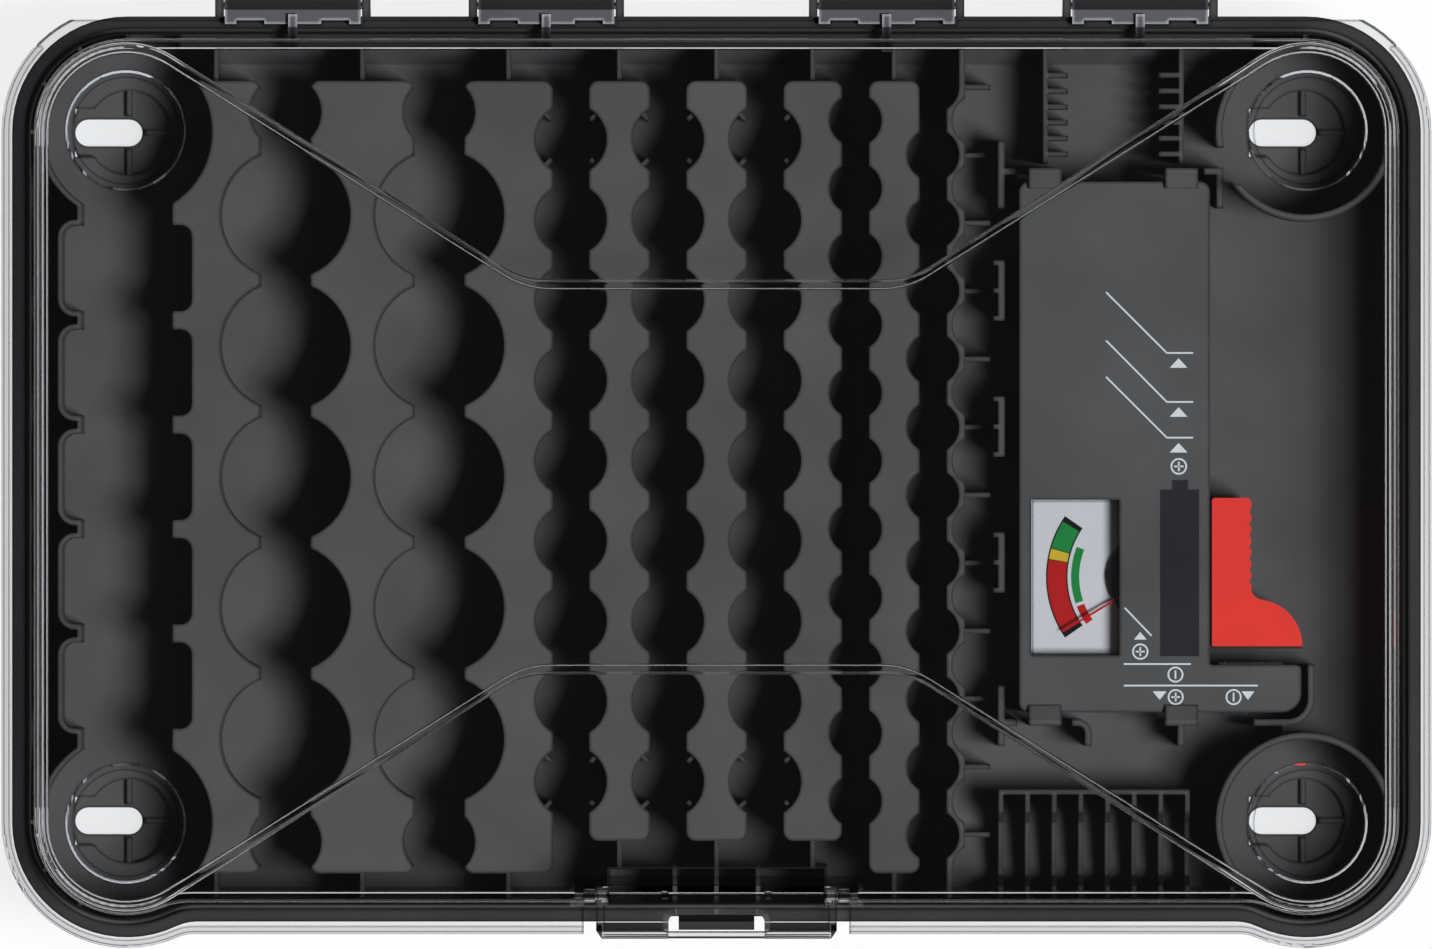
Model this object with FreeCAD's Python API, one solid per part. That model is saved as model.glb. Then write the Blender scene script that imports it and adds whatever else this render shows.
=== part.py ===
"""Battery storage case: a black moulded tray with wells for five cell sizes, a clear lid on
four rear hinges, a clear front latch, and a pocket that holds a slide-clamp battery tester.

Millimetres, +Z up, +Y towards the hinges. The origin is under the middle of the tray, at the
level of its four feet.
"""
import FreeCAD
import Part

import math
import os

from FreeCAD import Vector

# Case outline: every contour is a set of arcs about the four corner posts
POST_X = 123.0
POST_Y = 72.1
RIM_REACH = 24.0
WALL_REACH = 22.3
CAVITY_REACH = 20.3
FRONT_DROP = 3.3
FRONT_BLEND_R = 10.0

# Tray heights and walls; ROOT is how deep a rib is set into what carries it
ROOT = 0.5
RIB_T = 1.0
FOOT_DROP = 2.5
FLOOR = 2.0
DECK_Z = 34.0
PARTITION_Z = 33.0
RIM_Z = 40.0
RIM_DEPTH = 3.0
DECK_WALL = 1.5
WALL_SLOPE_IN = 3.2
WALL_SLOPE_UP = 6.0
GROOVE_OUTER = 21.4
GROOVE_INNER = 20.6
GROOVE_DEPTH = 2.2
REAR_LEDGE_Y = 89.6
REAR_LEDGE_Z = 37.5
REAR_LEDGE_X = 112.0
THIN_WALL = 1.1

# Corner wells, feet and wall-mount slots
CORNER_WELL_R = 17.7
RING_WALL_IN = 17.3
RING_WALL = 1.4
RING_GATE_Y0 = 61.2
RING_GATE_Y1 = 68.9
SPOKE_T = 0.9
SPOKE_STEP_DEG = 30
FOOT_R = 12.0
FOOT_RECESS_R = 8.8
SLOT_W = 5.6
SLOT_RIGHT = 2.65
SLOT_LEFT = 11.4
NOTCH_HALF = 5.0
FOOT_RIB = 1.25
FOOT_RIB_H = 1.5

# Well columns
BLOCK_X = -123.0
BLOCK_W = 26.9
BLOCK_H = 18.0
BLOCK_PITCH = 21.8
BLOCK_COUNT = 5
BLOCK_NECK = 18.8
BLOCK_CORNER_R = 2.5
LARGE_XS = (-90.0, -57.9)
LARGE_R = 13.56
LARGE_PITCH = 27.4
LARGE_COUNT = 5
LARGE_NECK = 10.6
LARGE_END_Y = 76.2
MEDIUM_XS = (-30.4, -10.1, 10.2)
MEDIUM_R = 7.48
MEDIUM_PITCH = 16.77
MEDIUM_COUNT = 9
MEDIUM_TOP_Y = 70.5
MEDIUM_NECK = 7.67
GRIP_RIB_L = 1.7
GRIP_RIB_W = 0.9
SMALL_X = 29.04
SMALL_R = 5.46
SMALL_PITCH = 14.22
SMALL_COUNT = 11
SMALL_TOP_Y = 74.5
SMALL_NECK = 5.7
SECOND_SMALL_X = 45.25
SECOND_SMALL_TOP_Y = 67.3
OPEN_SMALL_X = 54.8
SCALLOP_WALL_RIGHT = 51.9
OPEN_RIB_L = 5.4
OPEN_RIB_TALL_Z = 22.0
OPEN_RIB_LOW_Z = 12.0

# Deck islands between the columns
DECK_TOP = 82.7
DECK_BOTTOM = -82.8
SHORT_DECK_BOTTOM = -76.0
DECK_CORNER_R = 1.9

# Tester bay
TESTER_LEFT = 63.3
TESTER_RIGHT = 103.1
TESTER_BOTTOM = -49.2
TESTER_TOP = 61.7
TESTER_FOOT_RIGHT = 122.2
TESTER_FOOT_TOP = -39.3
TESTER_H = 25.0
TESTER_CORNER_R = 2.0
TESTER_FOOT_CORNER_R = 4.0
TESTER_WALL = 1.6
CLIP_W = 6.8
CLIP_T = 1.3
CLIP_GAP = 1.5
CLIP_HOOK = 3.0
CLIP_XS = (68.7, 97.2)
CLIP_LIP = 0.6
CLIP_RUN = 2.0

# Low fences about the tester
FENCE_Z = 22.0
COMB_Z = 25.0
FENCE_T = 1.4
FENCE_GAP = 3.0
FENCE_ARM = 7.0
FENCE_STUB = 2.6
FENCE_TAIL = 4.2
FENCE_BEND_R = 1.5
FENCE_LAP = 0.05
FOOT_FENCE_BEND_R = 4.3
BRACKET_LEFT = 74.4
BRACKET_RIGHT = 78.5
RING_TIE_X = 118.9
COMB_YS = (38.95, 10.5, -17.9)
COMB_HALF = 6.3

# Coin-cell racks right of the well columns
RACK_Z = 24.0
FIN_X = 59.5
FIN_PITCH = 5.57
FIN_COUNT = 8
FIN_SEAT_Z = 12.0
FIN_SHOULDER_Z = 16.0
FIN_BACK_Y = -65.4
FIN_SEAT_FRONT_Y = -83.4
FIN_SEAT_REAR_Y = -72.4
FIN_LEAN = 2.1
END_FIN_X = 107.9
END_FIN_L = 3.6
TOOTH_WALL_XS = (68.8, 97.2)
TOOTH_L = 4.2
TOOTH_REAR_Y = 84.0
TOOTH_PITCH = 3.3
TOOTH_COUNT = 6
TOOTH_WALL_FRONT_Y = 65.5

# Meter in the tester
WINDOW_X0 = 65.8
WINDOW_X1 = 84.2
WINDOW_Y0 = -37.3
WINDOW_Y1 = -4.8
WINDOW_T = 0.8
WINDOW_REBATE = 0.8
DIAL_DROP = 6.4
DIAL_T = 0.6
METER_X = 91.3
METER_Y = -20.9
METER_R = 9.56
METER_PROUD = 2.0
METER_DEPTH = 4.2
NEEDLE_REACH = 22.1
NEEDLE_REST_DEG = 211.0
NEEDLE_W = 0.45
NEEDLE_T = 0.4
NEEDLE_HUB_R = 1.5

# Clamp slider of the tester
SLIDER_GAP = 0.5
SLIDER_W = 8.2
SLIDER_TOP = -4.4
SLIDER_BOTTOM = -35.9
SLIDER_FOOT_TOP = -25.6
SLIDER_FOOT_RIGHT = 122.5
SLIDER_H = 14.0
SLIDER_TRAVEL = 60.0
RUNNER_DEPTH = 2.4
RUNNER_T = 2.0
RUNNER_GAP = 0.4
CONTACT_T = 0.5

# Screws in the back of the tester
SCREW_R = 1.1
SCREW_HEAD_R = 2.2
SCREW_HEAD_H = 1.4
SCREW_L = 11.0

# Load resistor in the tester
RESISTOR_R = 1.6
RESISTOR_L = 9.0
RESISTOR_ASIDE = 7.0
LEAD_R = 0.4
LEAD_L = 6.0

# Lid
LID_GAP = 0.2
LID_FLANGE_REACH = 26.2
LID_LIP_T = 1.4
LID_EDGE_R = 1.2
LID_INNER_R = 0.6
FLANGE_EDGE_R = 0.8
LID_LIP_DROP = 4.6
LID_LIP_END_Y = 89.6
LID_REAR_Y = 95.4
LID_FRONT_DROP = 2.9
LID_FLANGE_T = 1.8
LID_WALL_REACH = 19.2
LID_WALL_DROP = 2.7
LID_T = 1.8
LID_TOP_Z = 57.3
PLATEAU_REACH = 18.4
PLATEAU_RISE = 2.5
WAIST_Y = 41.2
WAIST_X = 40.3
WAIST_R = 16.7
STACK_R = 12.6
STACK_R_LOW = 12.1
STACK_DEPTH = 0.8
STACK_STEP_R = 11.0
STACK_STEP = 0.3

# Hinges
HINGE_X_INNER = 35.5
HINGE_X_OUTER = 88.4
HINGE_Y = 98.6
HINGE_Z = 41.0
EAR_SPAN = 32.4
EAR_T = 1.75
EAR_R = 2.8
EAR_FOOT_Z = 28.0
BARREL_R = 2.3
BARREL_CLEAR = 0.3
HINGE_PIN_R = 1.0
PIN_CLEAR = 0.08
ARM_EDGE = 94.5
ARM_STEP = 0.8
ARM_STEP_W = 5.9
ARM_Z0 = 40.4
ARM_Z1 = 43.2
TONGUE_W = 1.86
TONGUE_IN = 88.7
TONGUE_Z1 = 44.6
SNAP_FIT = 0.15
SLIP = 0.3

# Latch
LATCH_HALF = 25.1
LATCH_BAY_CLEAR = 2.6
LATCH_BAY_Y = -85.2
LATCH_PIVOT_Y = -87.4
LATCH_PIVOT_Z = 46.5
LATCH_LUG_R = 2.0
LATCH_LUG_L = 2.5
LATCH_PIN_R = 0.9
LATCH_PIN_STOP = 1.0
LATCH_BOSS_R = 2.3
LATCH_BOSS_L = 2.9
LATCH_NOSE_R = 1.45
LATCH_NOSE_GAP = 0.2
LATCH_T = 1.5
LATCH_FRONT = -96.4
LATCH_LOW_Z = 30.5
LATCH_BEND_R = 3.0
LATCH_CHEEK_T = 1.5
LATCH_CHEEK_Z = 34.5
LATCH_CORNER_X = 1.2
LATCH_CORNER_Y = 1.8
LATCH_BUMP_X = 10.8
LATCH_BUMP_R = 1.0
LATCH_BUMP_L = 1.3
LATCH_WINDOW_HALF = 10.0
LATCH_WINDOW_BACK = -91.3
LATCH_WINDOW_R = 1.5
LATCH_WINDOW_EDGE = 1.4
LATCH_WINDOW_BEVEL = 0.9
LATCH_BAR_Z = 33.2
STRIKER_HALF = 7.9
STRIKER_TIP = -94.6
STRIKER_Z0 = 33.8
STRIKER_Z1 = 37.0
STRIKER_NOTCH_Y = -91.7
NICHE_HALF = 22.1
NICHE_WALL_Y = -81.1
NICHE_WALL = 1.15
NICHE_WALL_TIP = 0.25
NICHE_RIB_PITCH = 8.7
NICHE_RIB_Z = 29.0
LINK_RIB_Z = 31.0

FLOOR_Z = FOOT_DROP + FLOOR
ROOT_Z = FLOOR_Z - ROOT
LID_Z = RIM_Z + LID_GAP
FLANGE_Z = LID_Z + LID_FLANGE_T
PLATEAU_Z = LID_TOP_Z + PLATEAU_RISE
LATCH_BAY_HALF = LATCH_HALF + LATCH_BAY_CLEAR
LATCH_BOSS_END = LATCH_BAY_HALF + LATCH_BOSS_L
LATCH_PIN_END = LATCH_BOSS_END - LATCH_PIN_STOP
HINGE_XS = (-HINGE_X_OUTER, -HINGE_X_INNER, HINGE_X_INNER, HINGE_X_OUTER)
RIM_FRONT_Y = -(POST_Y + RIM_REACH - FRONT_DROP)
TESTER_Z = FLOOR_Z + TESTER_H
SLIDER_X = TESTER_RIGHT + SLIDER_GAP
FRONT_INNER_Y = -(POST_Y + CAVITY_REACH - FRONT_DROP)
POSTS = [(sx * POST_X, sy * POST_Y) for sx in (-1, 1) for sy in (-1, 1)]


def box(x0, x1, y0, y1, z0, z1):
    """A block between two corners given in any order."""
    return Part.makeBox(abs(x1 - x0), abs(y1 - y0), abs(z1 - z0),
                        Vector(min(x0, x1), min(y0, y1), min(z0, z1)))


def post(x, y, r, z0, z1):
    """An upright cylinder."""
    return Part.makeCylinder(r, z1 - z0, Vector(x, y, z0))


def rod(x0, x1, y, z, r):
    """A cylinder along X."""
    return Part.makeCylinder(r, x1 - x0, Vector(x0, y, z), Vector(1, 0, 0))


def disc(x, y, r):
    """A round face in the XY plane."""
    return Part.Face(Part.Wire(Part.makeCircle(r, Vector(x, y, 0))))


def polar(x, y, r, degrees):
    """The point at a radius and angle from a centre."""
    angle = math.radians(degrees)
    return Vector(x + r * math.cos(angle), y + r * math.sin(angle), 0)


def arc(x, y, r, start, end):
    """An arc edge about a centre, from one angle to another, in degrees."""
    points = [polar(x, y, r, a) for a in (start, (start + end) / 2.0, end)]
    return Part.Arc(*points).toShape()


def closed_face(edges):
    """A face from arcs given in order, with straight runs drawn between their ends."""
    chain = []
    for index, edge in enumerate(edges):
        chain.append(edge)
        start = edge.valueAt(edge.LastParameter)
        following = edges[(index + 1) % len(edges)]
        end = following.valueAt(following.FirstParameter)
        if start.distanceToPoint(end) > 1e-6:
            chain.append(Part.makeLine(start, end))
    return Part.Face(Part.Wire(chain))


def rounded(x0, x1, y0, y1, r):
    """A rectangle with round corners."""
    return closed_face([arc(x1 - r, y1 - r, r, 0, 90), arc(x0 + r, y1 - r, r, 90, 180),
                        arc(x0 + r, y0 + r, r, 180, 270), arc(x1 - r, y0 + r, r, 270, 360)])


def polygon(points):
    """A face through points in the XY plane."""
    corners = [Vector(x, y, 0) for x, y in points]
    return Part.Face(Part.makePolygon(corners + corners[:1]))


def prism(face, z0, z1):
    """A face of the XY plane stood up between two heights."""
    return face.translated(Vector(0, 0, z0)).extrude(Vector(0, 0, z1 - z0))


def fence(x0, x1, y0, y1, top):
    """An upright wall rooted in the floor."""
    return box(x0, x1, y0, y1, ROOT_Z, top)


def thin_topped(x0, x1, y0, y1, top):
    """A wall rooted in the floor whose sides lean in to a thin top edge."""
    lean = (NICHE_WALL - NICHE_WALL_TIP) / 2.0
    low = polygon([(x0, y0), (x1, y0), (x1, y1), (x0, y1)])
    high = polygon([(x0 + lean, y0 + lean), (x1 - lean, y0 + lean), (x1 - lean, y1 - lean),
                    (x0 + lean, y1 - lean)])
    wires = [low.translated(Vector(0, 0, ROOT_Z)).OuterWire,
             high.translated(Vector(0, 0, top)).OuterWire]
    return Part.makeLoft(wires, True, True)


def rolled(shape, z, r):
    """A shape with its edges at one height rounded over."""
    edges = [edge for edge in shape.Edges
             if edge.BoundBox.ZLength < 1e-6 and abs(edge.BoundBox.ZMin - z) < 1e-6]
    return shape.makeFillet(r, edges)


def along_x(face, x0, x1):
    """A face drawn as (y, z) swept along X."""
    upright = face.copy()
    upright.rotate(Vector(0, 0, 0), Vector(1, 1, 1), 120)
    return upright.translated(Vector(x0, 0, 0)).extrude(Vector(x1 - x0, 0, 0))


def joined(shapes):
    """One solid from touching shapes, with shared faces merged."""
    return shapes[0].multiFuse(shapes[1:]).removeSplitter()


def less(shape, tools):
    """A shape with a list of tools taken out of it."""
    return shape.cut(Part.makeCompound(tools))


def case_face(reach, drop=FRONT_DROP):
    """The case contour at a reach from the posts: straight rear and sides, and a front that
    stands back by a drop between two concave blends."""
    blend = FRONT_BLEND_R + RIM_REACH - reach
    down = reach - drop + blend
    out = math.sqrt((reach + blend) ** 2 - down ** 2)
    turn = math.degrees(math.atan2(down, out))
    blend_x = POST_X - out
    blend_y = -(POST_Y + down)
    return closed_face([
        arc(POST_X, POST_Y, reach, 0, 90), arc(-POST_X, POST_Y, reach, 90, 180),
        arc(-POST_X, -POST_Y, reach, 180, 360 - turn),
        arc(-blend_x, blend_y, blend, 180 - turn, 90),
        arc(blend_x, blend_y, blend, 90, turn),
        arc(POST_X, -POST_Y, reach, 180 + turn, 360)])


def tub(reach, z0, z1):
    """The case contour stood up between two heights, with a sloped foot all round."""
    low = case_face(reach - WALL_SLOPE_IN).translated(Vector(0, 0, z0)).OuterWire
    high = case_face(reach).translated(Vector(0, 0, z0 + WALL_SLOPE_UP)).OuterWire
    slope = Part.makeLoft([low, high], True, True)
    return slope.fuse(prism(case_face(reach), z0 + WALL_SLOPE_UP, z1))


def rows(top, pitch, count):
    """Row places from the rear one forwards."""
    return [top - pitch * index for index in range(count)]


def block_rows():
    """Row places of the block-cell wells."""
    return rows(BLOCK_PITCH * (BLOCK_COUNT - 1) / 2.0, BLOCK_PITCH, BLOCK_COUNT)


def large_rows():
    """Row places of the large round wells."""
    return rows(LARGE_PITCH * (LARGE_COUNT - 1) / 2.0, LARGE_PITCH, LARGE_COUNT)


def medium_rows():
    """Row places of the medium round wells."""
    return rows(MEDIUM_TOP_Y, MEDIUM_PITCH, MEDIUM_COUNT)


def small_rows(top):
    """Row places of the small round wells."""
    return rows(top, SMALL_PITCH, SMALL_COUNT)


def block_column(grow):
    """Plan of the block-cell column with its neck and its two corner wells."""
    faces = [rounded(BLOCK_X - BLOCK_W / 2.0 - grow, BLOCK_X + BLOCK_W / 2.0 + grow,
                     y - BLOCK_H / 2.0 - grow, y + BLOCK_H / 2.0 + grow, BLOCK_CORNER_R + grow)
             for y in block_rows()]
    half = BLOCK_NECK / 2.0 + grow
    faces.append(polygon([(BLOCK_X - half, -POST_Y), (BLOCK_X + half, -POST_Y),
                          (BLOCK_X + half, POST_Y), (BLOCK_X - half, POST_Y)]))
    faces += [disc(-POST_X, side * POST_Y, CORNER_WELL_R + grow) for side in (-1, 1)]
    return faces


def round_wells(grow):
    """Plans of every round well, larger all round by the given amount."""
    places = [(x, y, LARGE_R) for x in LARGE_XS for y in large_rows()]
    places += [(x, side * LARGE_END_Y, MEDIUM_R) for x in LARGE_XS for side in (-1, 1)]
    places += [(x, y, MEDIUM_R) for x in MEDIUM_XS for y in medium_rows()]
    places += [(SMALL_X, y, SMALL_R) for y in small_rows(SMALL_TOP_Y)]
    places += [(SECOND_SMALL_X, y, SMALL_R) for y in small_rows(SECOND_SMALL_TOP_Y)]
    return [disc(x, y, r + grow) for x, y, r in places]


def channels():
    """Centre, half neck and half straight core-free width of each column, from the left. The
    cores under the deck follow the large wells, and run straight past the smaller ones."""
    row = [(BLOCK_X, BLOCK_NECK / 2.0, BLOCK_NECK / 2.0)]
    row += [(x, LARGE_NECK / 2.0, LARGE_NECK / 2.0) for x in LARGE_XS]
    row += [(x, MEDIUM_NECK / 2.0, MEDIUM_R) for x in MEDIUM_XS]
    row += [(x, SMALL_NECK / 2.0, SMALL_R) for x in (SMALL_X, SECOND_SMALL_X)]
    return row


def island_spans():
    """Left edge, right edge and front end of each deck island between two channels."""
    spans = []
    row = channels()
    for (x0, neck0, _), (x1, neck1, _) in zip(row, row[1:]):
        end = SHORT_DECK_BOTTOM if x0 in MEDIUM_XS else DECK_BOTTOM
        spans.append((x0 + neck0, x1 - neck1, end))
    return spans


def island_plans():
    """Deck islands with scalloped sides."""
    wells = Part.makeCompound(round_wells(0) + block_column(0))
    plans = []
    for x0, x1, end in island_spans():
        strip = rounded(x0, x1, end, DECK_TOP, DECK_CORNER_R)
        plans += strip.cut(wells).Faces
    return plans


def core_plans():
    """The hollows under the islands, one deck wall inside their edges and wells."""
    wells = block_column(DECK_WALL)
    wells += [disc(x, y, LARGE_R + DECK_WALL) for x in LARGE_XS for y in large_rows()]
    wells += [disc(x, side * LARGE_END_Y, MEDIUM_R + DECK_WALL)
              for x in LARGE_XS for side in (-1, 1)]
    wells = Part.makeCompound(wells)
    plans = []
    row = channels()
    for (x0, _, clear0), (x1, _, clear1), span in zip(row, row[1:], island_spans()):
        left = x0 + clear0 + DECK_WALL
        right = x1 - clear1 - DECK_WALL
        low = span[2] + DECK_WALL
        high = DECK_TOP - DECK_WALL
        strip = polygon([(left, low), (right, low), (right, high), (left, high)])
        plans += [face for face in strip.cut(wells).Faces if face.Area > 4 * DECK_WALL ** 2]
    return plans


def deck():
    """Hollow islands: each is a deep scalloped cup standing upside down on the floor."""
    outer = [prism(face, ROOT_Z, DECK_Z) for face in island_plans()]
    cores = [prism(face, FOOT_DROP - 1, DECK_Z - DECK_WALL) for face in core_plans()]
    return outer, cores


def grip_ribs():
    """Four short ribs that grip the cell in the first and last wells of a medium column."""
    ribs = []
    for x in MEDIUM_XS:
        for y in (medium_rows()[0], medium_rows()[-1]):
            for quarter in range(4):
                rib = box(MEDIUM_R - GRIP_RIB_L, MEDIUM_R + 0.6, -GRIP_RIB_W / 2.0,
                          GRIP_RIB_W / 2.0, ROOT_Z, DECK_Z - 2)
                rib.rotate(Vector(0, 0, 0), Vector(0, 0, 1), 45 + 90 * quarter)
                ribs.append(rib.translated(Vector(x, y, 0)))
    return ribs


def block_wall():
    """The thin wall that follows the block-cell wells and left corner wells on their left."""
    grown = block_column(THIN_WALL)
    band = grown[0].multiFuse(grown[1:]).cut(Part.makeCompound(block_column(0)))
    left = -(POST_X + CAVITY_REACH)
    keep = polygon([(left - 1, -90), (BLOCK_X, -90), (BLOCK_X, 90), (left - 1, 90)])
    return [prism(face, ROOT_Z, PARTITION_Z) for face in band.common(keep).Faces]


def scallop_rows():
    """Row places along the wavy wall: the cells on its left, then the open ones on its right.
    Each list runs one well past the column, where the wall turns straight."""
    return (rows(SECOND_SMALL_TOP_Y + SMALL_PITCH, SMALL_PITCH, SMALL_COUNT + 1),
            rows(SMALL_TOP_Y, SMALL_PITCH, SMALL_COUNT + 1))


def scallop_wall():
    """The thin wavy wall between two small-cell columns, straight at its two ends."""
    left_rows, right_rows = scallop_rows()
    left = SECOND_SMALL_X + SMALL_NECK / 2.0
    rear = REAR_LEDGE_Y + ROOT
    front = FRONT_INNER_Y - ROOT
    strip = polygon([(left, front), (SCALLOP_WALL_RIGHT, front), (SCALLOP_WALL_RIGHT, rear),
                     (left, rear)])
    wells = [disc(SECOND_SMALL_X, y, SMALL_R) for y in left_rows]
    wells += [disc(OPEN_SMALL_X, y, SMALL_R) for y in right_rows]
    rear_left = SECOND_SMALL_X + SMALL_R
    front_right = OPEN_SMALL_X - SMALL_R
    wells.append(polygon([(left - 1, left_rows[0]), (rear_left, left_rows[0]),
                          (rear_left, rear + 1), (left - 1, rear + 1)]))
    wells.append(polygon([(front_right, front - 1), (SCALLOP_WALL_RIGHT + 1, front - 1),
                          (SCALLOP_WALL_RIGHT + 1, right_rows[-1]),
                          (front_right, right_rows[-1])]))
    return [prism(face, ROOT_Z, PARTITION_Z)
            for face in strip.cut(Part.makeCompound(wells)).Faces]


def scallop_ribs():
    """Short ribs that part the open small wells, tall and low in turn."""
    ribs = []
    for index, y in enumerate(scallop_rows()[0]):
        top = OPEN_RIB_LOW_Z if index % 2 else OPEN_RIB_TALL_Z
        ribs.append(fence(SCALLOP_WALL_RIGHT - ROOT, SCALLOP_WALL_RIGHT + OPEN_RIB_L,
                          y - RIB_T / 2.0, y + RIB_T / 2.0, top))
    return ribs


def link_ribs():
    """Ribs that tie the deck to the rear and front walls."""
    ribs = []
    for x0, x1, end in island_spans():
        left = (x0 + x1 - RIB_T) / 2.0
        right = left + RIB_T
        ribs.append(fence(left, right, DECK_TOP - 1, REAR_LEDGE_Y + 1, LINK_RIB_Z))
        front = NICHE_WALL_Y if abs(left) < NICHE_HALF else FRONT_INNER_Y
        ribs.append(fence(left, right, front - ROOT, end + 1, LINK_RIB_Z))
    return ribs


def niche():
    """The pocket behind the latch, with three ribs to the front wall."""
    outer = NICHE_HALF + NICHE_WALL
    front = FRONT_INNER_Y - ROOT
    walls = [thin_topped(-outer, outer, NICHE_WALL_Y - NICHE_WALL, NICHE_WALL_Y, LINK_RIB_Z)]
    for x0, x1 in ((-outer, -NICHE_HALF), (NICHE_HALF, outer)):
        walls.append(thin_topped(x0, x1, front - ROOT, NICHE_WALL_Y, LINK_RIB_Z))
    for x in (-NICHE_RIB_PITCH, 0.0, NICHE_RIB_PITCH):
        walls.append(fence(x - RIB_T / 2.0, x + RIB_T / 2.0, front, NICHE_WALL_Y, NICHE_RIB_Z))
    return walls


def corner_rings():
    """Free-standing ring walls about the right-hand corner wells, and their spokes."""
    parts = []
    outer = RING_WALL_IN + RING_WALL
    for side in (-1, 1):
        ring = post(POST_X, side * POST_Y, outer, ROOT_Z, PARTITION_Z)
        parts.append(ring.cut(post(POST_X, side * POST_Y, RING_WALL_IN, ROOT_Z, PARTITION_Z)))
    gate = fence(POST_X - outer - 1, POST_X - RING_WALL_IN / 2.0, RING_GATE_Y0, RING_GATE_Y1,
                 PARTITION_Z + 1)
    parts[1] = parts[1].cut(gate)
    for x, y in POSTS:
        for angle in range(0, 360, SPOKE_STEP_DEG):
            spoke = box(outer - ROOT, CAVITY_REACH + ROOT, -SPOKE_T / 2.0, SPOKE_T / 2.0,
                        FLOOR_Z + WALL_SLOPE_UP, LINK_RIB_Z)
            spoke.rotate(Vector(0, 0, 0), Vector(0, 0, 1), angle)
            outward = polar(0, 0, 1, angle)
            if outward.x * x >= -1e-6 and outward.y * y >= -1e-6:
                parts.append(spoke.translated(Vector(x, y, 0)))
    return parts


def finned_rack():
    """The front rack: leaning fins on a back wall, with a rounded seat for coin cells."""
    end = FIN_X + FIN_PITCH * (FIN_COUNT - 1)
    parts = [fence(FIN_X - RIB_T / 2.0, end + RIB_T / 2.0, FIN_BACK_Y - RIB_T, FIN_BACK_Y,
                   RACK_Z)]
    front = FRONT_INNER_Y - ROOT
    back = FIN_BACK_Y - ROOT
    profile = polygon([(back, ROOT_Z), (back, RACK_Z), (FIN_SEAT_REAR_Y + FIN_LEAN, RACK_Z),
                       (FIN_SEAT_REAR_Y, FIN_SHOULDER_Z), (FIN_SEAT_FRONT_Y, FIN_SEAT_Z),
                       (FIN_SEAT_FRONT_Y - FIN_LEAN, RACK_Z), (front, RACK_Z),
                       (front, ROOT_Z)])
    for index in range(FIN_COUNT):
        x = FIN_X + FIN_PITCH * index
        parts.append(along_x(profile, x - RIB_T / 2.0, x + RIB_T / 2.0))
    parts.append(fence(END_FIN_X - RIB_T / 2.0, END_FIN_X + RIB_T / 2.0, front,
                       FRONT_INNER_Y + END_FIN_L, RACK_Z))
    return parts


def toothed_rack():
    """The rear rack: two walls with facing teeth that hold coin cells on edge."""
    parts = []
    left, right = TOOTH_WALL_XS
    for x, inward in ((left, 1), (right, -1)):
        parts.append(fence(x - RIB_T / 2.0, x + RIB_T / 2.0, TOOTH_WALL_FRONT_Y,
                           REAR_LEDGE_Y + ROOT, RACK_Z))
        for y in rows(TOOTH_REAR_Y, TOOTH_PITCH, TOOTH_COUNT):
            parts.append(fence(x, x + inward * (TOOTH_L + RIB_T / 2.0), y - RIB_T / 2.0,
                               y + RIB_T / 2.0, RACK_Z))
    return parts


def tester_clips():
    """Four spring clips with hooks over the two ends of the tester."""
    parts = []
    under = TESTER_Z + SLIP
    top = under + CLIP_LIP + CLIP_RUN
    for x in CLIP_XS:
        for face, away in ((TESTER_TOP + CLIP_GAP, 1), (TESTER_BOTTOM - CLIP_GAP, -1)):
            back = face + away * CLIP_T
            tip = face - away * CLIP_HOOK
            profile = polygon([(back, ROOT_Z), (back, top), (face, top),
                               (tip, under + CLIP_LIP), (tip, under), (face, under),
                               (face, ROOT_Z)])
            parts.append(along_x(profile, x - CLIP_W / 2.0, x + CLIP_W / 2.0))
    return parts


def angle_fence(x, y, out_x, out_y, arm_x, arm_y):
    """A low L about a corner of the tester: its inner corner is at x, y and it stands on the
    side that out_x and out_y point to, with an arm along each side of the tester."""
    far_x = x + out_x * FENCE_T
    far_y = y + out_y * FENCE_T
    return [fence(x, far_x, far_y, y - out_y * arm_y, FENCE_Z),
            fence(far_x, x - out_x * arm_x, y, far_y, FENCE_Z)]


def bent_fence(x, y, bend, arm_x, arm_y, side=1):
    """A low L with a round bend: its inner corner is at x, y, with one arm to the left and one
    to the rear, or to the front where side is -1."""
    outer = bend + FENCE_T
    ring = post(x - bend, y + side * bend, outer, ROOT_Z, FENCE_Z)
    ring = ring.cut(post(x - bend, y + side * bend, bend, ROOT_Z, FENCE_Z))
    corner = box(x - bend, x + FENCE_T, y + side * bend, y - side * FENCE_T, ROOT_Z, FENCE_Z)
    return [ring.common(corner),
            fence(x, x + FENCE_T, y + side * (bend - FENCE_LAP), y + side * arm_y, FENCE_Z),
            fence(x - arm_x, x - bend + FENCE_LAP, y, y - side * FENCE_T, FENCE_Z)]


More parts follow.
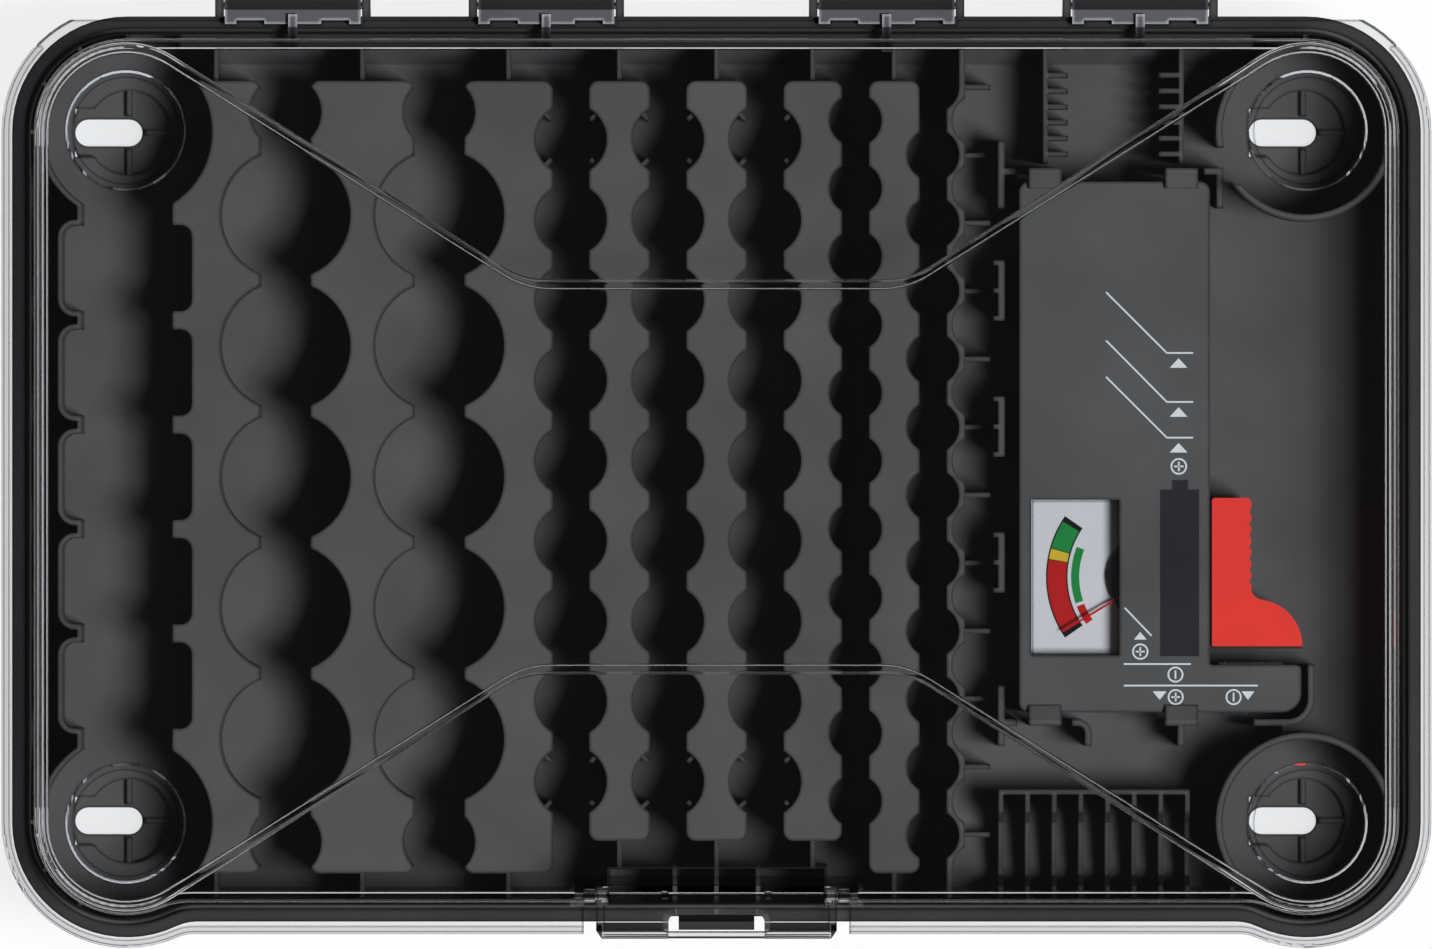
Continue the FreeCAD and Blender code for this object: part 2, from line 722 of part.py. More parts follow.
def bay_fences():
    """Low fences that keep the tester and the open small cells in place."""
    left = TESTER_LEFT - FENCE_GAP
    right = TESTER_RIGHT + CLIP_GAP
    rear = TESTER_TOP + CLIP_GAP
    front = TESTER_BOTTOM - CLIP_GAP
    foot_right = TESTER_FOOT_RIGHT + CLIP_GAP
    parts = angle_fence(left, rear, -1, 1, FENCE_STUB, FENCE_ARM)
    parts += angle_fence(right, rear, 1, 1, FENCE_STUB, FENCE_ARM)
    parts += angle_fence(left, front, -1, -1, FENCE_STUB, FENCE_ARM)
    parts.append(fence(left - FENCE_T, left, front, front - FENCE_T - FENCE_TAIL, FENCE_Z))
    parts += bent_fence(foot_right, front, FOOT_FENCE_BEND_R, FOOT_FENCE_BEND_R + FENCE_ARM,
                        TESTER_FOOT_TOP - front)
    parts.append(fence(RING_TIE_X - RIB_T / 2.0, RING_TIE_X + RIB_T / 2.0, front - ROOT,
                       -POST_Y + RING_WALL_IN + ROOT, FENCE_Z))
    parts.append(fence(left - FENCE_T, left, rear, rear + FENCE_ARM, FENCE_Z))
    parts += bent_fence(BRACKET_RIGHT - FENCE_T, front - FENCE_T, FENCE_BEND_R,
                        BRACKET_RIGHT - FENCE_T - BRACKET_LEFT, FENCE_TAIL, -1)
    parts.append(fence(CLIP_XS[1] - FENCE_T / 2.0, CLIP_XS[1] + FENCE_T / 2.0,
                       front - CLIP_T + ROOT, front - FENCE_T - FENCE_TAIL, FENCE_Z))
    for y in COMB_YS:
        parts.append(fence(left - FENCE_T, left, y - COMB_HALF, y + COMB_HALF, COMB_Z))
        for tooth in (-1, 0, 1):
            middle = y + tooth * (COMB_HALF - RIB_T / 2.0)
            parts.append(fence(left - FENCE_T - RIB_T, left - ROOT, middle - RIB_T / 2.0,
                               middle + RIB_T / 2.0, COMB_Z))
    return parts


def feet():
    """Round feet under the corner posts; each holds the recess of a wall-mount slot."""
    return [post(x, y, FOOT_R, 0, FLOOR_Z) for x, y in POSTS]


def foot_tools():
    """Screw-head recess, notch and slot of each foot."""
    tools = []
    for x, y in POSTS:
        recess = post(x, y, FOOT_RECESS_R, FLOOR, FLOOR_Z + 1)
        recess = recess.fuse(box(x - SLOT_LEFT, x, y - NOTCH_HALF, y + NOTCH_HALF, FLOOR,
                                 FLOOR_Z + 1))
        ribs = [box(x - FOOT_RIB / 2.0, x + FOOT_RIB / 2.0, y + SLOT_W / 2.0 + 0.6,
                    y + FOOT_RECESS_R, FLOOR, FLOOR + FOOT_RIB_H),
                box(x - FOOT_RIB / 2.0, x + FOOT_RIB / 2.0, y - FOOT_RECESS_R,
                    y - SLOT_W / 2.0 - 0.6, FLOOR, FLOOR + FOOT_RIB_H),
                box(x + SLOT_RIGHT + 0.6, x + FOOT_RECESS_R, y - FOOT_RIB / 2.0,
                    y + FOOT_RIB / 2.0, FLOOR, FLOOR + FOOT_RIB_H)]
        tools.append(less(recess, ribs))
        ends = (x - SLOT_LEFT + SLOT_W / 2.0, x + SLOT_RIGHT - SLOT_W / 2.0)
        tools += [post(end, y, SLOT_W / 2.0, -1, FLOOR + 1) for end in ends]
        tools.append(box(*ends, y - SLOT_W / 2.0, y + SLOT_W / 2.0, -1, FLOOR + 1))
    return tools


def hinge_ears():
    """Pairs of lugs that carry the hinge pins behind the tray."""
    wall = POST_Y + WALL_REACH - 0.5
    cheek = polygon([(wall, EAR_FOOT_Z), (wall, RIM_Z - 0.5), (HINGE_Y - EAR_R, RIM_Z - 0.5),
                     (HINGE_Y - EAR_R, HINGE_Z), (HINGE_Y + EAR_R, HINGE_Z),
                     (HINGE_Y + EAR_R, HINGE_Z - 2)])
    ears = []
    for x in HINGE_XS:
        for side in (-1, 1):
            x0 = x + side * EAR_SPAN / 2.0 - (EAR_T if side > 0 else 0)
            ear = along_x(cheek, x0, x0 + EAR_T).fuse(rod(x0, x0 + EAR_T, HINGE_Y, HINGE_Z,
                                                          EAR_R))
            ears.append(ear)
    return ears


def pin_bores():
    """Bores of the hinge pins through the ears."""
    return [rod(x - EAR_SPAN, x + EAR_SPAN, HINGE_Y, HINGE_Z, HINGE_PIN_R + 0.02)
            for x in HINGE_XS]


def striker():
    """The wedge under the front rim that the latch window drops over."""
    wall = -(POST_Y + WALL_REACH - FRONT_DROP)
    profile = polygon([(wall + 0.5, STRIKER_Z0), (STRIKER_TIP, STRIKER_Z0),
                       (STRIKER_TIP, STRIKER_Z0 + 1), (RIM_FRONT_Y, STRIKER_Z1 + 1),
                       (wall + 0.5, STRIKER_Z1 + 1)])
    return along_x(profile, -STRIKER_HALF, STRIKER_HALF)


def striker_notches():
    """Two notches in the front rim beside the striker."""
    return [box(side * STRIKER_HALF, side * LATCH_WINDOW_HALF, STRIKER_NOTCH_Y,
                RIM_FRONT_Y - 1, RIM_Z - RIM_DEPTH - 1, RIM_Z + 1) for side in (-1, 1)]


def rear_ledge():
    """The thickened inside of the rear wall behind the hinges."""
    back = POST_Y + CAVITY_REACH + 0.3
    profile = polygon([(back, ROOT_Z), (REAR_LEDGE_Y - WALL_SLOPE_IN, ROOT_Z),
                       (REAR_LEDGE_Y - WALL_SLOPE_IN, FLOOR_Z),
                       (REAR_LEDGE_Y, FLOOR_Z + WALL_SLOPE_UP), (REAR_LEDGE_Y, REAR_LEDGE_Z),
                       (back, REAR_LEDGE_Z)])
    return along_x(profile, -REAR_LEDGE_X, REAR_LEDGE_X)


def tray():
    """The whole black moulding."""
    shell = tub(WALL_REACH, FOOT_DROP, RIM_Z)
    shell = shell.fuse(prism(case_face(RIM_REACH), RIM_Z - RIM_DEPTH, RIM_Z))
    shell = shell.cut(tub(CAVITY_REACH, FLOOR_Z, RIM_Z + 1))
    groove = case_face(GROOVE_OUTER).cut(case_face(GROOVE_INNER))
    shell = shell.cut(prism(groove, RIM_Z - GROOVE_DEPTH, RIM_Z + 1))
    islands, cores = deck()
    room = tub((WALL_REACH + CAVITY_REACH) / 2.0, (FOOT_DROP + FLOOR_Z) / 2.0, RIM_Z)
    walls = block_wall() + scallop_wall() + link_ribs() + niche()
    walls += finned_rack() + toothed_rack()
    inside = [wall.common(room) for wall in walls + [rear_ledge()]]
    inside += scallop_ribs() + corner_rings() + tester_clips() + bay_fences() + grip_ribs()
    solids = [shell, striker()] + feet() + islands + inside + hinge_ears()
    body = joined(solids)
    body = less(body, cores + foot_tools() + pin_bores() + striker_notches())
    return body.removeSplitter()


def plateau_face(shrink):
    """The raised hourglass of the lid, drawn in by the given amount."""
    reach = PLATEAU_REACH - shrink
    waist = WAIST_Y - shrink
    dx = POST_X - WAIST_X
    dy = POST_Y - WAIST_Y
    away = math.degrees(math.atan2(dy, dx))
    tangent = away + math.degrees(math.asin(PLATEAU_REACH / math.hypot(dx, dy)))
    corner = WAIST_X - shrink * math.tan(math.radians(tangent / 2.0))
    bend = WAIST_R + shrink
    back = bend * math.tan(math.radians(tangent / 2.0))
    edges = []
    for sx, sy in ((1, 1), (-1, 1), (-1, -1), (1, -1)):
        x = sx * POST_X
        y = sy * POST_Y
        outer = 0 if sx > 0 else 180
        slope_side = 90 + tangent if sx > 0 else 90 - tangent
        slope_side *= sy
        outer = outer if sy > 0 else -outer
        bend_x = sx * (corner - back)
        bend_y = sy * (waist + bend)
        low = -90 * sy
        high = slope_side + 180
        corner_arc = (x, y, reach, outer, slope_side)
        waist_arc = (bend_x, bend_y, bend, high if high < 180 else high - 360, low)
        if sx * sy > 0:
            edges += [arc(*corner_arc), arc(*waist_arc)]
        else:
            edges += [arc(*waist_arc[:3], waist_arc[4], waist_arc[3]),
                      arc(*corner_arc[:3], corner_arc[4], corner_arc[3])]
    return closed_face(edges)


def lid():
    """The clear lid: flange with a down-turned lip, upright wall, and a raised hourglass."""
    flange_face = case_face(LID_FLANGE_REACH, LID_FRONT_DROP)
    inner_face = case_face(LID_FLANGE_REACH - LID_LIP_T, LID_FRONT_DROP)
    flange = rolled(prism(flange_face, LID_Z, FLANGE_Z), FLANGE_Z, FLANGE_EDGE_R)
    far = 400
    flange = flange.cut(box(-far, far, LID_REAR_Y, far, 0, far))
    lip = prism(flange_face.cut(inner_face), LID_Z - LID_LIP_DROP, LID_Z + ROOT)
    lip = lip.cut(box(-far, far, LID_LIP_END_Y, far, 0, far))
    wall = prism(case_face(LID_WALL_REACH, LID_WALL_DROP), LID_Z, LID_TOP_Z)
    wall = rolled(wall, LID_TOP_Z, LID_EDGE_R)
    crown = rolled(prism(plateau_face(0), LID_TOP_Z - LID_T, PLATEAU_Z), PLATEAU_Z, LID_EDGE_R)
    bay = box(-LATCH_BAY_HALF, LATCH_BAY_HALF, LATCH_BAY_Y, -far, LID_Z, far)
    outer = joined([flange, wall, crown]).cut(bay)
    lip = lip.cut(box(-LATCH_BAY_HALF, LATCH_BAY_HALF, -far, LATCH_BAY_Y, 0, far))
    ceiling = LID_TOP_Z - LID_T
    room = prism(case_face(LID_WALL_REACH - LID_T, LID_WALL_DROP), 0, ceiling)
    high = prism(plateau_face(LID_T), ceiling - 1, PLATEAU_Z - LID_T)
    room = rolled(room, ceiling, LID_INNER_R).fuse(rolled(high, PLATEAU_Z - LID_T, LID_INNER_R))
    keep = LATCH_BAY_HALF + LID_T
    room = room.cut(box(-keep, keep, LATCH_BAY_Y + LID_T, -far, 0, far))
    shape = joined([outer.cut(room), lip] + latch_bosses())
    tools = [rod(-LATCH_PIN_END - 0.1, LATCH_PIN_END + 0.1, LATCH_PIVOT_Y, LATCH_PIVOT_Z,
                 LATCH_PIN_R + 0.02)]
    for x, y in POSTS:
        tools.append(Part.makeCone(STACK_R_LOW, STACK_R, STACK_DEPTH,
                                   Vector(x, y, PLATEAU_Z - STACK_DEPTH)))
        tools.append(post(x, y, STACK_STEP_R, PLATEAU_Z - STACK_DEPTH - STACK_STEP, PLATEAU_Z))
    for x in HINGE_XS:
        tools += hinge_notch(x)
    return less(shape, tools).removeSplitter()


def latch_bosses():
    """Round bosses in the lid on both sides of the latch bay, each with a nose that keeps the
    latch off the lid."""
    bosses = []
    nose = LATCH_HALF + LATCH_NOSE_GAP
    for inner, outer, r in ((LATCH_BAY_HALF, LATCH_BOSS_END, LATCH_BOSS_R),
                            (nose, LATCH_BAY_HALF + ROOT, LATCH_NOSE_R)):
        bosses.append(rod(inner, outer, LATCH_PIVOT_Y, LATCH_PIVOT_Z, r))
        bosses.append(rod(-outer, -inner, LATCH_PIVOT_Y, LATCH_PIVOT_Z, r))
    return bosses


def arm_steps(x):
    """Left and right edges of the two stepped stretches of a hinge arm."""
    return [(x + side * 1.5 * ARM_STEP_W - ARM_STEP_W / 2.0,
             x + side * 1.5 * ARM_STEP_W + ARM_STEP_W / 2.0) for side in (-1, 1)]


def hinge_notch(x):
    """What one hinge takes out of the lid: flange edge, stepped seat and tongue slot."""
    half = EAR_SPAN / 2.0 - EAR_T + 0.2
    edge = ARM_EDGE - SNAP_FIT
    notch = box(x - half, x + half, edge, edge + 10, LID_Z - 1, FLANGE_Z + 1)
    for x0, x1 in arm_steps(x):
        notch = notch.cut(box(x0 + SNAP_FIT, x1 - SNAP_FIT, edge - 1, edge + ARM_STEP,
                              LID_Z - 1, FLANGE_Z + 1))
    slot_half = TONGUE_W / 2.0 + SNAP_FIT
    slot = box(x - slot_half, x + slot_half, TONGUE_IN - SNAP_FIT, ARM_EDGE,
               FLANGE_Z + 0.02, TONGUE_Z1 + SNAP_FIT)
    return [notch, slot]


def hinge_clip(x):
    """One hinge: a barrel between the ears, a stepped arm and a tongue into the lid wall."""
    half = EAR_SPAN / 2.0 - EAR_T - BARREL_CLEAR
    arm = box(x - half, x + half, ARM_EDGE, HINGE_Y, ARM_Z0, ARM_Z1)
    for x0, x1 in arm_steps(x):
        arm = arm.cut(box(x0, x1, ARM_EDGE - 1, ARM_EDGE + ARM_STEP, ARM_Z0 - 1, ARM_Z1 + 1))
    barrel = rod(x - half, x + half, HINGE_Y, HINGE_Z, BARREL_R)
    tongue = box(x - TONGUE_W / 2.0, x + TONGUE_W / 2.0, TONGUE_IN, ARM_EDGE + 2,
                 FLANGE_Z + SNAP_FIT, TONGUE_Z1)
    clip = joined([arm, barrel, tongue])
    return clip.cut(rod(x - half - 1, x + half + 1, HINGE_Y, HINGE_Z,
                        HINGE_PIN_R + PIN_CLEAR)).removeSplitter()


def hinge_pin(x):
    """The steel pin of one hinge, flush with the outer faces of its ears."""
    return rod(x - EAR_SPAN / 2.0, x + EAR_SPAN / 2.0, HINGE_Y, HINGE_Z, HINGE_PIN_R)


def latch_window():
    """The tool of the latch window: round corners in plan, and a bevel all round its top."""
    top = LATCH_PIVOT_Z + LATCH_T / 2.0
    far = LATCH_FRONT - 10
    half = LATCH_WINDOW_HALF
    plan = rounded(-half, half, far, LATCH_WINDOW_BACK, LATCH_WINDOW_R)
    grow = LATCH_WINDOW_EDGE
    wide = rounded(-half - grow, half + grow, far, LATCH_WINDOW_BACK + grow,
                   LATCH_WINDOW_R + grow)
    bevel = Part.makeLoft([plan.translated(Vector(0, 0, top - LATCH_WINDOW_BEVEL)).OuterWire,
                           wide.translated(Vector(0, 0, top + 0.1)).OuterWire], True, True)
    return [prism(plan, LATCH_BAR_Z, top + 1), bevel]


def latch_corners():
    """The tools that cut off the two front corners of the latch in plan."""
    x = LATCH_HALF
    y = LATCH_FRONT
    tools = []
    for side in (-1, 1):
        corner = polygon([(side * (x - 1.5 * LATCH_CORNER_X), y - 0.5 * LATCH_CORNER_Y),
                          (side * (x + 0.5 * LATCH_CORNER_X), y + 1.5 * LATCH_CORNER_Y),
                          (side * (x + 3 * LATCH_CORNER_X), y - 3 * LATCH_CORNER_Y)])
        tools.append(prism(corner, 0, PLATEAU_Z))
    return tools


def latch_cheek(x0):
    """One end wall of the latch, from its lug forwards and down behind the front."""
    top = LATCH_PIVOT_Z + LATCH_T / 2.0
    under = FLANGE_Z + 1.0
    step = RIM_FRONT_Y - 0.6
    face = LATCH_FRONT + LATCH_T / 3.0
    profile = polygon([(face, LATCH_CHEEK_Z), (face, top - LATCH_BEND_R / 2.0),
                       (LATCH_FRONT + LATCH_BEND_R, top - 0.3), (LATCH_PIVOT_Y, top - 0.3),
                       (LATCH_PIVOT_Y - LATCH_LUG_R, under), (step, under),
                       (step, LATCH_CHEEK_Z + LATCH_BEND_R)])
    return along_x(profile, x0, x0 + LATCH_CHEEK_T)


def latch():
    """The clear flap: a plate hung on two short pins, bent down in front, with a cheek and a
    lug at each end, two small bumps on its rear edge and a window for the striker."""
    top = LATCH_PIVOT_Z + LATCH_T / 2.0
    bend = LATCH_FRONT + LATCH_BEND_R
    outline = closed_face([
        arc(bend, top - LATCH_BEND_R, LATCH_BEND_R, 180, 90),
        arc(LATCH_PIVOT_Y, LATCH_PIVOT_Z, LATCH_T / 2.0, 90, -90),
        arc(bend, top - LATCH_BEND_R, LATCH_BEND_R - LATCH_T, 90, 180),
        arc(LATCH_FRONT + LATCH_T / 2.0, LATCH_LOW_Z + LATCH_T / 2.0, LATCH_T / 2.0, 0, -180)])
    pieces = [along_x(outline, -LATCH_HALF, LATCH_HALF),
              latch_cheek(-LATCH_HALF), latch_cheek(LATCH_HALF - LATCH_CHEEK_T)]
    for x, length, r in ((LATCH_HALF - LATCH_LUG_L / 2.0, LATCH_LUG_L, LATCH_LUG_R),
                         (LATCH_BUMP_X, LATCH_BUMP_L, LATCH_BUMP_R)):
        for middle in (-x, x):
            pieces.append(rod(middle - length / 2.0, middle + length / 2.0, LATCH_PIVOT_Y,
                              LATCH_PIVOT_Z, r))
    inner = LATCH_HALF - LATCH_LUG_L
    bores = [rod(x0, x0 + LATCH_LUG_L + 1, LATCH_PIVOT_Y, LATCH_PIVOT_Z,
                 LATCH_PIN_R + PIN_CLEAR) for x0 in (inner, -LATCH_HALF - 1)]
    return less(joined(pieces), latch_window() + latch_corners() + bores).removeSplitter()


def latch_pin():
    """The two short steel pins of the latch, pressed into the bosses of the lid."""
    inner = LATCH_HALF - LATCH_LUG_L + PIN_CLEAR
    return Part.makeCompound([rod(x0, x0 + LATCH_PIN_END - inner, LATCH_PIVOT_Y, LATCH_PIVOT_Z,
                                  LATCH_PIN_R) for x0 in (inner, -LATCH_PIN_END)])


def tester_plan(shrink):
    """Outline of the tester: a long body with a foot to the right."""
    r = TESTER_CORNER_R - min(shrink, TESTER_CORNER_R - 0.4)
    foot_r = TESTER_FOOT_CORNER_R - min(shrink, TESTER_FOOT_CORNER_R - 0.4)
    x0 = TESTER_LEFT + shrink
    x1 = TESTER_RIGHT - shrink
    x2 = TESTER_FOOT_RIGHT - shrink
    y0 = TESTER_BOTTOM + shrink
    y1 = TESTER_FOOT_TOP - shrink
    y2 = TESTER_TOP - shrink
    inner = 0.5
    return closed_face([
        arc(x1 - r, y2 - r, r, 0, 90), arc(x0 + r, y2 - r, r, 90, 180),
        arc(x0 + r, y0 + r, r, 180, 270), arc(x2 - foot_r, y0 + foot_r, foot_r, 270, 360),
        arc(x2 - r / 2.0, y1 - r / 2.0, r / 2.0, 0, 90), arc(x1 + inner, y1 + inner, inner,
                                                             270, 180)])


def runner_slot():
    """The slot at the parting line in which the slider runs."""
    middle = FLOOR_Z + TESTER_H / 2.0
    half = RUNNER_T / 2.0 + RUNNER_GAP
    return box(TESTER_RIGHT - RUNNER_DEPTH - RUNNER_GAP, TESTER_RIGHT + 1, SLIDER_BOTTOM,
               SLIDER_TOP + SLIDER_TRAVEL + RUNNER_GAP, middle - half, middle + half)


def tester_front_shell():
    """Upper half of the tester with the meter window and the room for the meter."""
    middle = FLOOR_Z + TESTER_H / 2.0
    shell = prism(tester_plan(0), middle, TESTER_Z)
    shell = shell.cut(prism(tester_plan(TESTER_WALL + RUNNER_DEPTH), middle - 1,
                            TESTER_Z - TESTER_WALL))
    opening = box(WINDOW_X0, WINDOW_X1, WINDOW_Y0, WINDOW_Y1, middle, TESTER_Z + 1)
    rebate = box(WINDOW_X0 - WINDOW_REBATE, WINDOW_X1 + WINDOW_REBATE,
                 WINDOW_Y0 - WINDOW_REBATE, WINDOW_Y1 + WINDOW_REBATE,
                 TESTER_Z - TESTER_WALL - 0.1, TESTER_Z - WINDOW_T)
    room = box(WINDOW_X0 - WINDOW_REBATE, METER_X + METER_R + 0.1, WINDOW_Y0 - WINDOW_REBATE,
               WINDOW_Y1 + WINDOW_REBATE, dial_top() - METER_DEPTH - 0.1,
               TESTER_Z - TESTER_WALL)
    return less(shell, [opening, rebate, room, runner_slot()]).removeSplitter()


def tester_back_shell():
    """Lower half of the tester, with two screw posts."""
    middle = FLOOR_Z + TESTER_H / 2.0
    shell = prism(tester_plan(0), FLOOR_Z, middle)
    shell = shell.cut(prism(tester_plan(TESTER_WALL + RUNNER_DEPTH), FLOOR_Z + TESTER_WALL,
                            middle + 1))
    posts = [post(x, y, 3.2, FLOOR_Z + TESTER_WALL - 0.2, middle) for x, y in screw_places()]
    bores = []
    for x, y in screw_places():
        bores.append(post(x, y, SCREW_R + 0.1, FLOOR_Z - 1, middle + 1))
        bores.append(post(x, y, SCREW_HEAD_R + 0.2, FLOOR_Z - 1, FLOOR_Z + SCREW_HEAD_H + 0.4))
    return less(joined([shell] + posts), bores + [runner_slot()]).removeSplitter()


def screw_places():
    """The two screws near the ends of the tester's back."""
    x = (TESTER_LEFT + TESTER_RIGHT) / 2.0
    return [(x, TESTER_TOP - 14), (x, TESTER_BOTTOM + 7)]


def tester_screws():
    """Pan-head screws with a cross recess, driven up through the back shell."""
    screws = []
    for x, y in screw_places():
        z = FLOOR_Z + 0.4
        screw = post(x, y, SCREW_HEAD_R, z, z + SCREW_HEAD_H).fuse(
            post(x, y, SCREW_R, z, z + SCREW_L))
        for wide, deep in ((2.6, 0.5), (0.5, 2.6)):
            screw = screw.cut(box(x - wide / 2.0, x + wide / 2.0, y - deep / 2.0,
                                  y + deep / 2.0, z - 0.1, z + 0.8))
        screws.append(screw)
    return Part.makeCompound(screws)


def meter_window():
    """The clear pane, with a rim under the face of the tester."""
    top = TESTER_Z - 0.2
    pane = box(WINDOW_X0 + 0.1, WINDOW_X1 - 0.1, WINDOW_Y0 + 0.1, WINDOW_Y1 - 0.1,
               TESTER_Z - WINDOW_T, top)
    rim = box(WINDOW_X0 - WINDOW_REBATE + 0.1, WINDOW_X1 + WINDOW_REBATE - 0.1,
              WINDOW_Y0 - WINDOW_REBATE + 0.1, WINDOW_Y1 + WINDOW_REBATE - 0.1,
              TESTER_Z - 2 * WINDOW_T, TESTER_Z - WINDOW_T)
    return joined([pane, rim])


def dial_top():
    """Height of the printed face of the meter."""
    return TESTER_Z - DIAL_DROP


def meter_dial():
    """The white scale plate, cut round the movement."""
    z = dial_top()
    plate = box(WINDOW_X0 - WINDOW_REBATE + 0.1, METER_X, WINDOW_Y0 - WINDOW_REBATE + 0.1,
                WINDOW_Y1 + WINDOW_REBATE - 0.1, z - DIAL_T, z)
    return plate.cut(post(METER_X, METER_Y, METER_R + 0.1, z - DIAL_T - 1, z + 1))


def meter_movement():
    """The black case of the meter movement, with a seat for the dial and a pivot pin."""
    z = dial_top()
    case = post(METER_X, METER_Y, METER_R, z - METER_DEPTH, z + METER_PROUD)
    shelf = box(WINDOW_X0 + 4, METER_X, METER_Y - METER_R, METER_Y + METER_R,
                z - METER_DEPTH, z - DIAL_T)
    pivot = post(METER_X, METER_Y, 0.4, z + METER_PROUD - 1, z + METER_PROUD + 1.4)
    return joined([case, shelf, pivot])


def meter_needle():
    """The red pointer on its hub."""
    z = dial_top() + METER_PROUD + 0.15
    pointer = box(-3.5, NEEDLE_REACH, -NEEDLE_W / 2.0, NEEDLE_W / 2.0, z, z + NEEDLE_T)
    hub = post(0, 0, NEEDLE_HUB_R, z, z + 1.1)
    needle = joined([pointer, hub]).cut(post(0, 0, 0.45, z - 1, z + 2))
    needle.rotate(Vector(0, 0, 0), Vector(0, 0, 1), NEEDLE_REST_DEG)
    return needle.translated(Vector(METER_X, METER_Y, 0))


def clamp_slider():
    """The red clamp: an upright bar, a foot with a quarter-round shoulder, and its runner."""
    middle = FLOOR_Z + TESTER_H / 2.0
    x0 = SLIDER_X
    x1 = SLIDER_X + SLIDER_W
    shoulder = SLIDER_FOOT_TOP - SLIDER_BOTTOM - CONTACT_T
    blend = 2.4
    plan = closed_face([
        arc(x1 - 1, SLIDER_TOP - 1, 1, 0, 90), arc(x0 + 0.6, SLIDER_TOP - 0.6, 0.6, 90, 180),
        arc(x0 + 0.4, SLIDER_BOTTOM + CONTACT_T + 0.4, 0.4, 180, 270),
        arc(SLIDER_FOOT_RIGHT - shoulder, SLIDER_BOTTOM + CONTACT_T, shoulder, 0, 90),
        arc(x1 + blend, SLIDER_FOOT_TOP + blend, blend, 270, 180)])
    bar = prism(plan, middle - SLIDER_H / 2.0, middle + SLIDER_H / 2.0)
    runner = box(TESTER_RIGHT - RUNNER_DEPTH, x0 + 1, SLIDER_BOTTOM + 2.5, SLIDER_TOP - 2,
                 middle - RUNNER_T / 2.0, middle + RUNNER_T / 2.0)
    grooves = [post(x1 + 0.35, y, 0.7, 0, TESTER_Z)
               for y in rows(SLIDER_TOP - 3, 2.4, 7)]
    return less(joined([bar, runner]), grooves).removeSplitter()


def slider_contact():
    """The metal plate across the slider's foot."""
    middle = FLOOR_Z + TESTER_H / 2.0
    return box(SLIDER_X + 0.4, SLIDER_FOOT_RIGHT, SLIDER_BOTTOM, SLIDER_BOTTOM + CONTACT_T,
               middle - SLIDER_H / 2.0 + 1, middle + SLIDER_H / 2.0 - 1)


def foot_contact():
    """The fixed metal plate that the slider clamps a cell against."""
    middle = FLOOR_Z + TESTER_H / 2.0
    return box(TESTER_RIGHT + 2, TESTER_RIGHT + 15.3, TESTER_FOOT_TOP,
               TESTER_FOOT_TOP + CONTACT_T, middle - 6, middle + 6)


def block_contacts():
    """Two metal pads for a block cell at the lower end of the tester."""
    middle = FLOOR_Z + TESTER_H / 2.0
    return Part.makeCompound([
        box(x - 3, x + 3, TESTER_BOTTOM - CONTACT_T, TESTER_BOTTOM, middle - 3, middle + 3)
        for x in (96.0, 108.3)])


def load_resistor():
    """The load resistor, lying in the back shell."""
    x = (TESTER_LEFT + TESTER_RIGHT) / 2.0 - RESISTOR_ASIDE
    z = FLOOR_Z + TESTER_WALL + RESISTOR_R
    start = METER_Y + METER_R + RESISTOR_L
    body = Part.makeCylinder(RESISTOR_R, RESISTOR_L, Vector(x, start, z), Vector(0, 1, 0))
    leads = Part.makeCylinder(LEAD_R, RESISTOR_L + 2 * LEAD_L, Vector(x, start - LEAD_L, z),
                              Vector(0, 1, 0))
    return body.fuse(leads).removeSplitter()


def all_parts():
    """Every piece of the case by its node name."""
    parts = {
        "base_tray": tray(), "lid": lid(), "latch": latch(), "latch_pin": latch_pin(),
        "tester_front_shell": tester_front_shell(), "tester_back_shell": tester_back_shell(),
        "tester_screws": tester_screws(), "meter_window": meter_window(),
        "meter_dial": meter_dial(), "meter_movement": meter_movement(),
        "meter_needle": meter_needle(), "clamp_slider": clamp_slider(),
        "slider_contact": slider_contact(), "foot_contact": foot_contact(),
        "block_contacts": block_contacts(), "load_resistor": load_resistor()}
    for index, x in enumerate(HINGE_XS):
        parts["hinge_clip_%d" % (index + 1)] = hinge_clip(x)
        parts["hinge_pin_%d" % (index + 1)] = hinge_pin(x)
    return parts


os.makedirs("parts", exist_ok=True)
for name, shape in all_parts().items():
    shape.exportStep("parts/%s.step" % name)
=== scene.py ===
"""Looks of the battery storage case: moulded black tray, clear lid and latch, slide-clamp tester
with a small meter, under one soft key lamp from the right and front.

The frame is in metres. Sizes and places here are in millimetres and go through MM, and heights
come from the frame's own pieces.
"""
import math

import bmesh
import bpy
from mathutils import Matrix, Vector

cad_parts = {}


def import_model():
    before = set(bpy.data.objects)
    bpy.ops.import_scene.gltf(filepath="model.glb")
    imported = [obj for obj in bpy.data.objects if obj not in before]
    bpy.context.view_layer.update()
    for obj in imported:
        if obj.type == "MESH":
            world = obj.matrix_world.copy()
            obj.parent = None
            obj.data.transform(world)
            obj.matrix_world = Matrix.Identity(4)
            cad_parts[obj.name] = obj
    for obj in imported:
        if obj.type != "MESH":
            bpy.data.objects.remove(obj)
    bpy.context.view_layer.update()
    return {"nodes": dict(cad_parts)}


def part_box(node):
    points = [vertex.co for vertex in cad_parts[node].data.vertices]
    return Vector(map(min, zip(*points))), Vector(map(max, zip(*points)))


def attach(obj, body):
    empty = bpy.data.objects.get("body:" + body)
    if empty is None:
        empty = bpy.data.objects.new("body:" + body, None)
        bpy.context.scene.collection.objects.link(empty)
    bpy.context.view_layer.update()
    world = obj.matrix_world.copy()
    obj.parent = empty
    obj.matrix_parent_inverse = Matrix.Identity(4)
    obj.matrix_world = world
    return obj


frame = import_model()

MM = 0.001

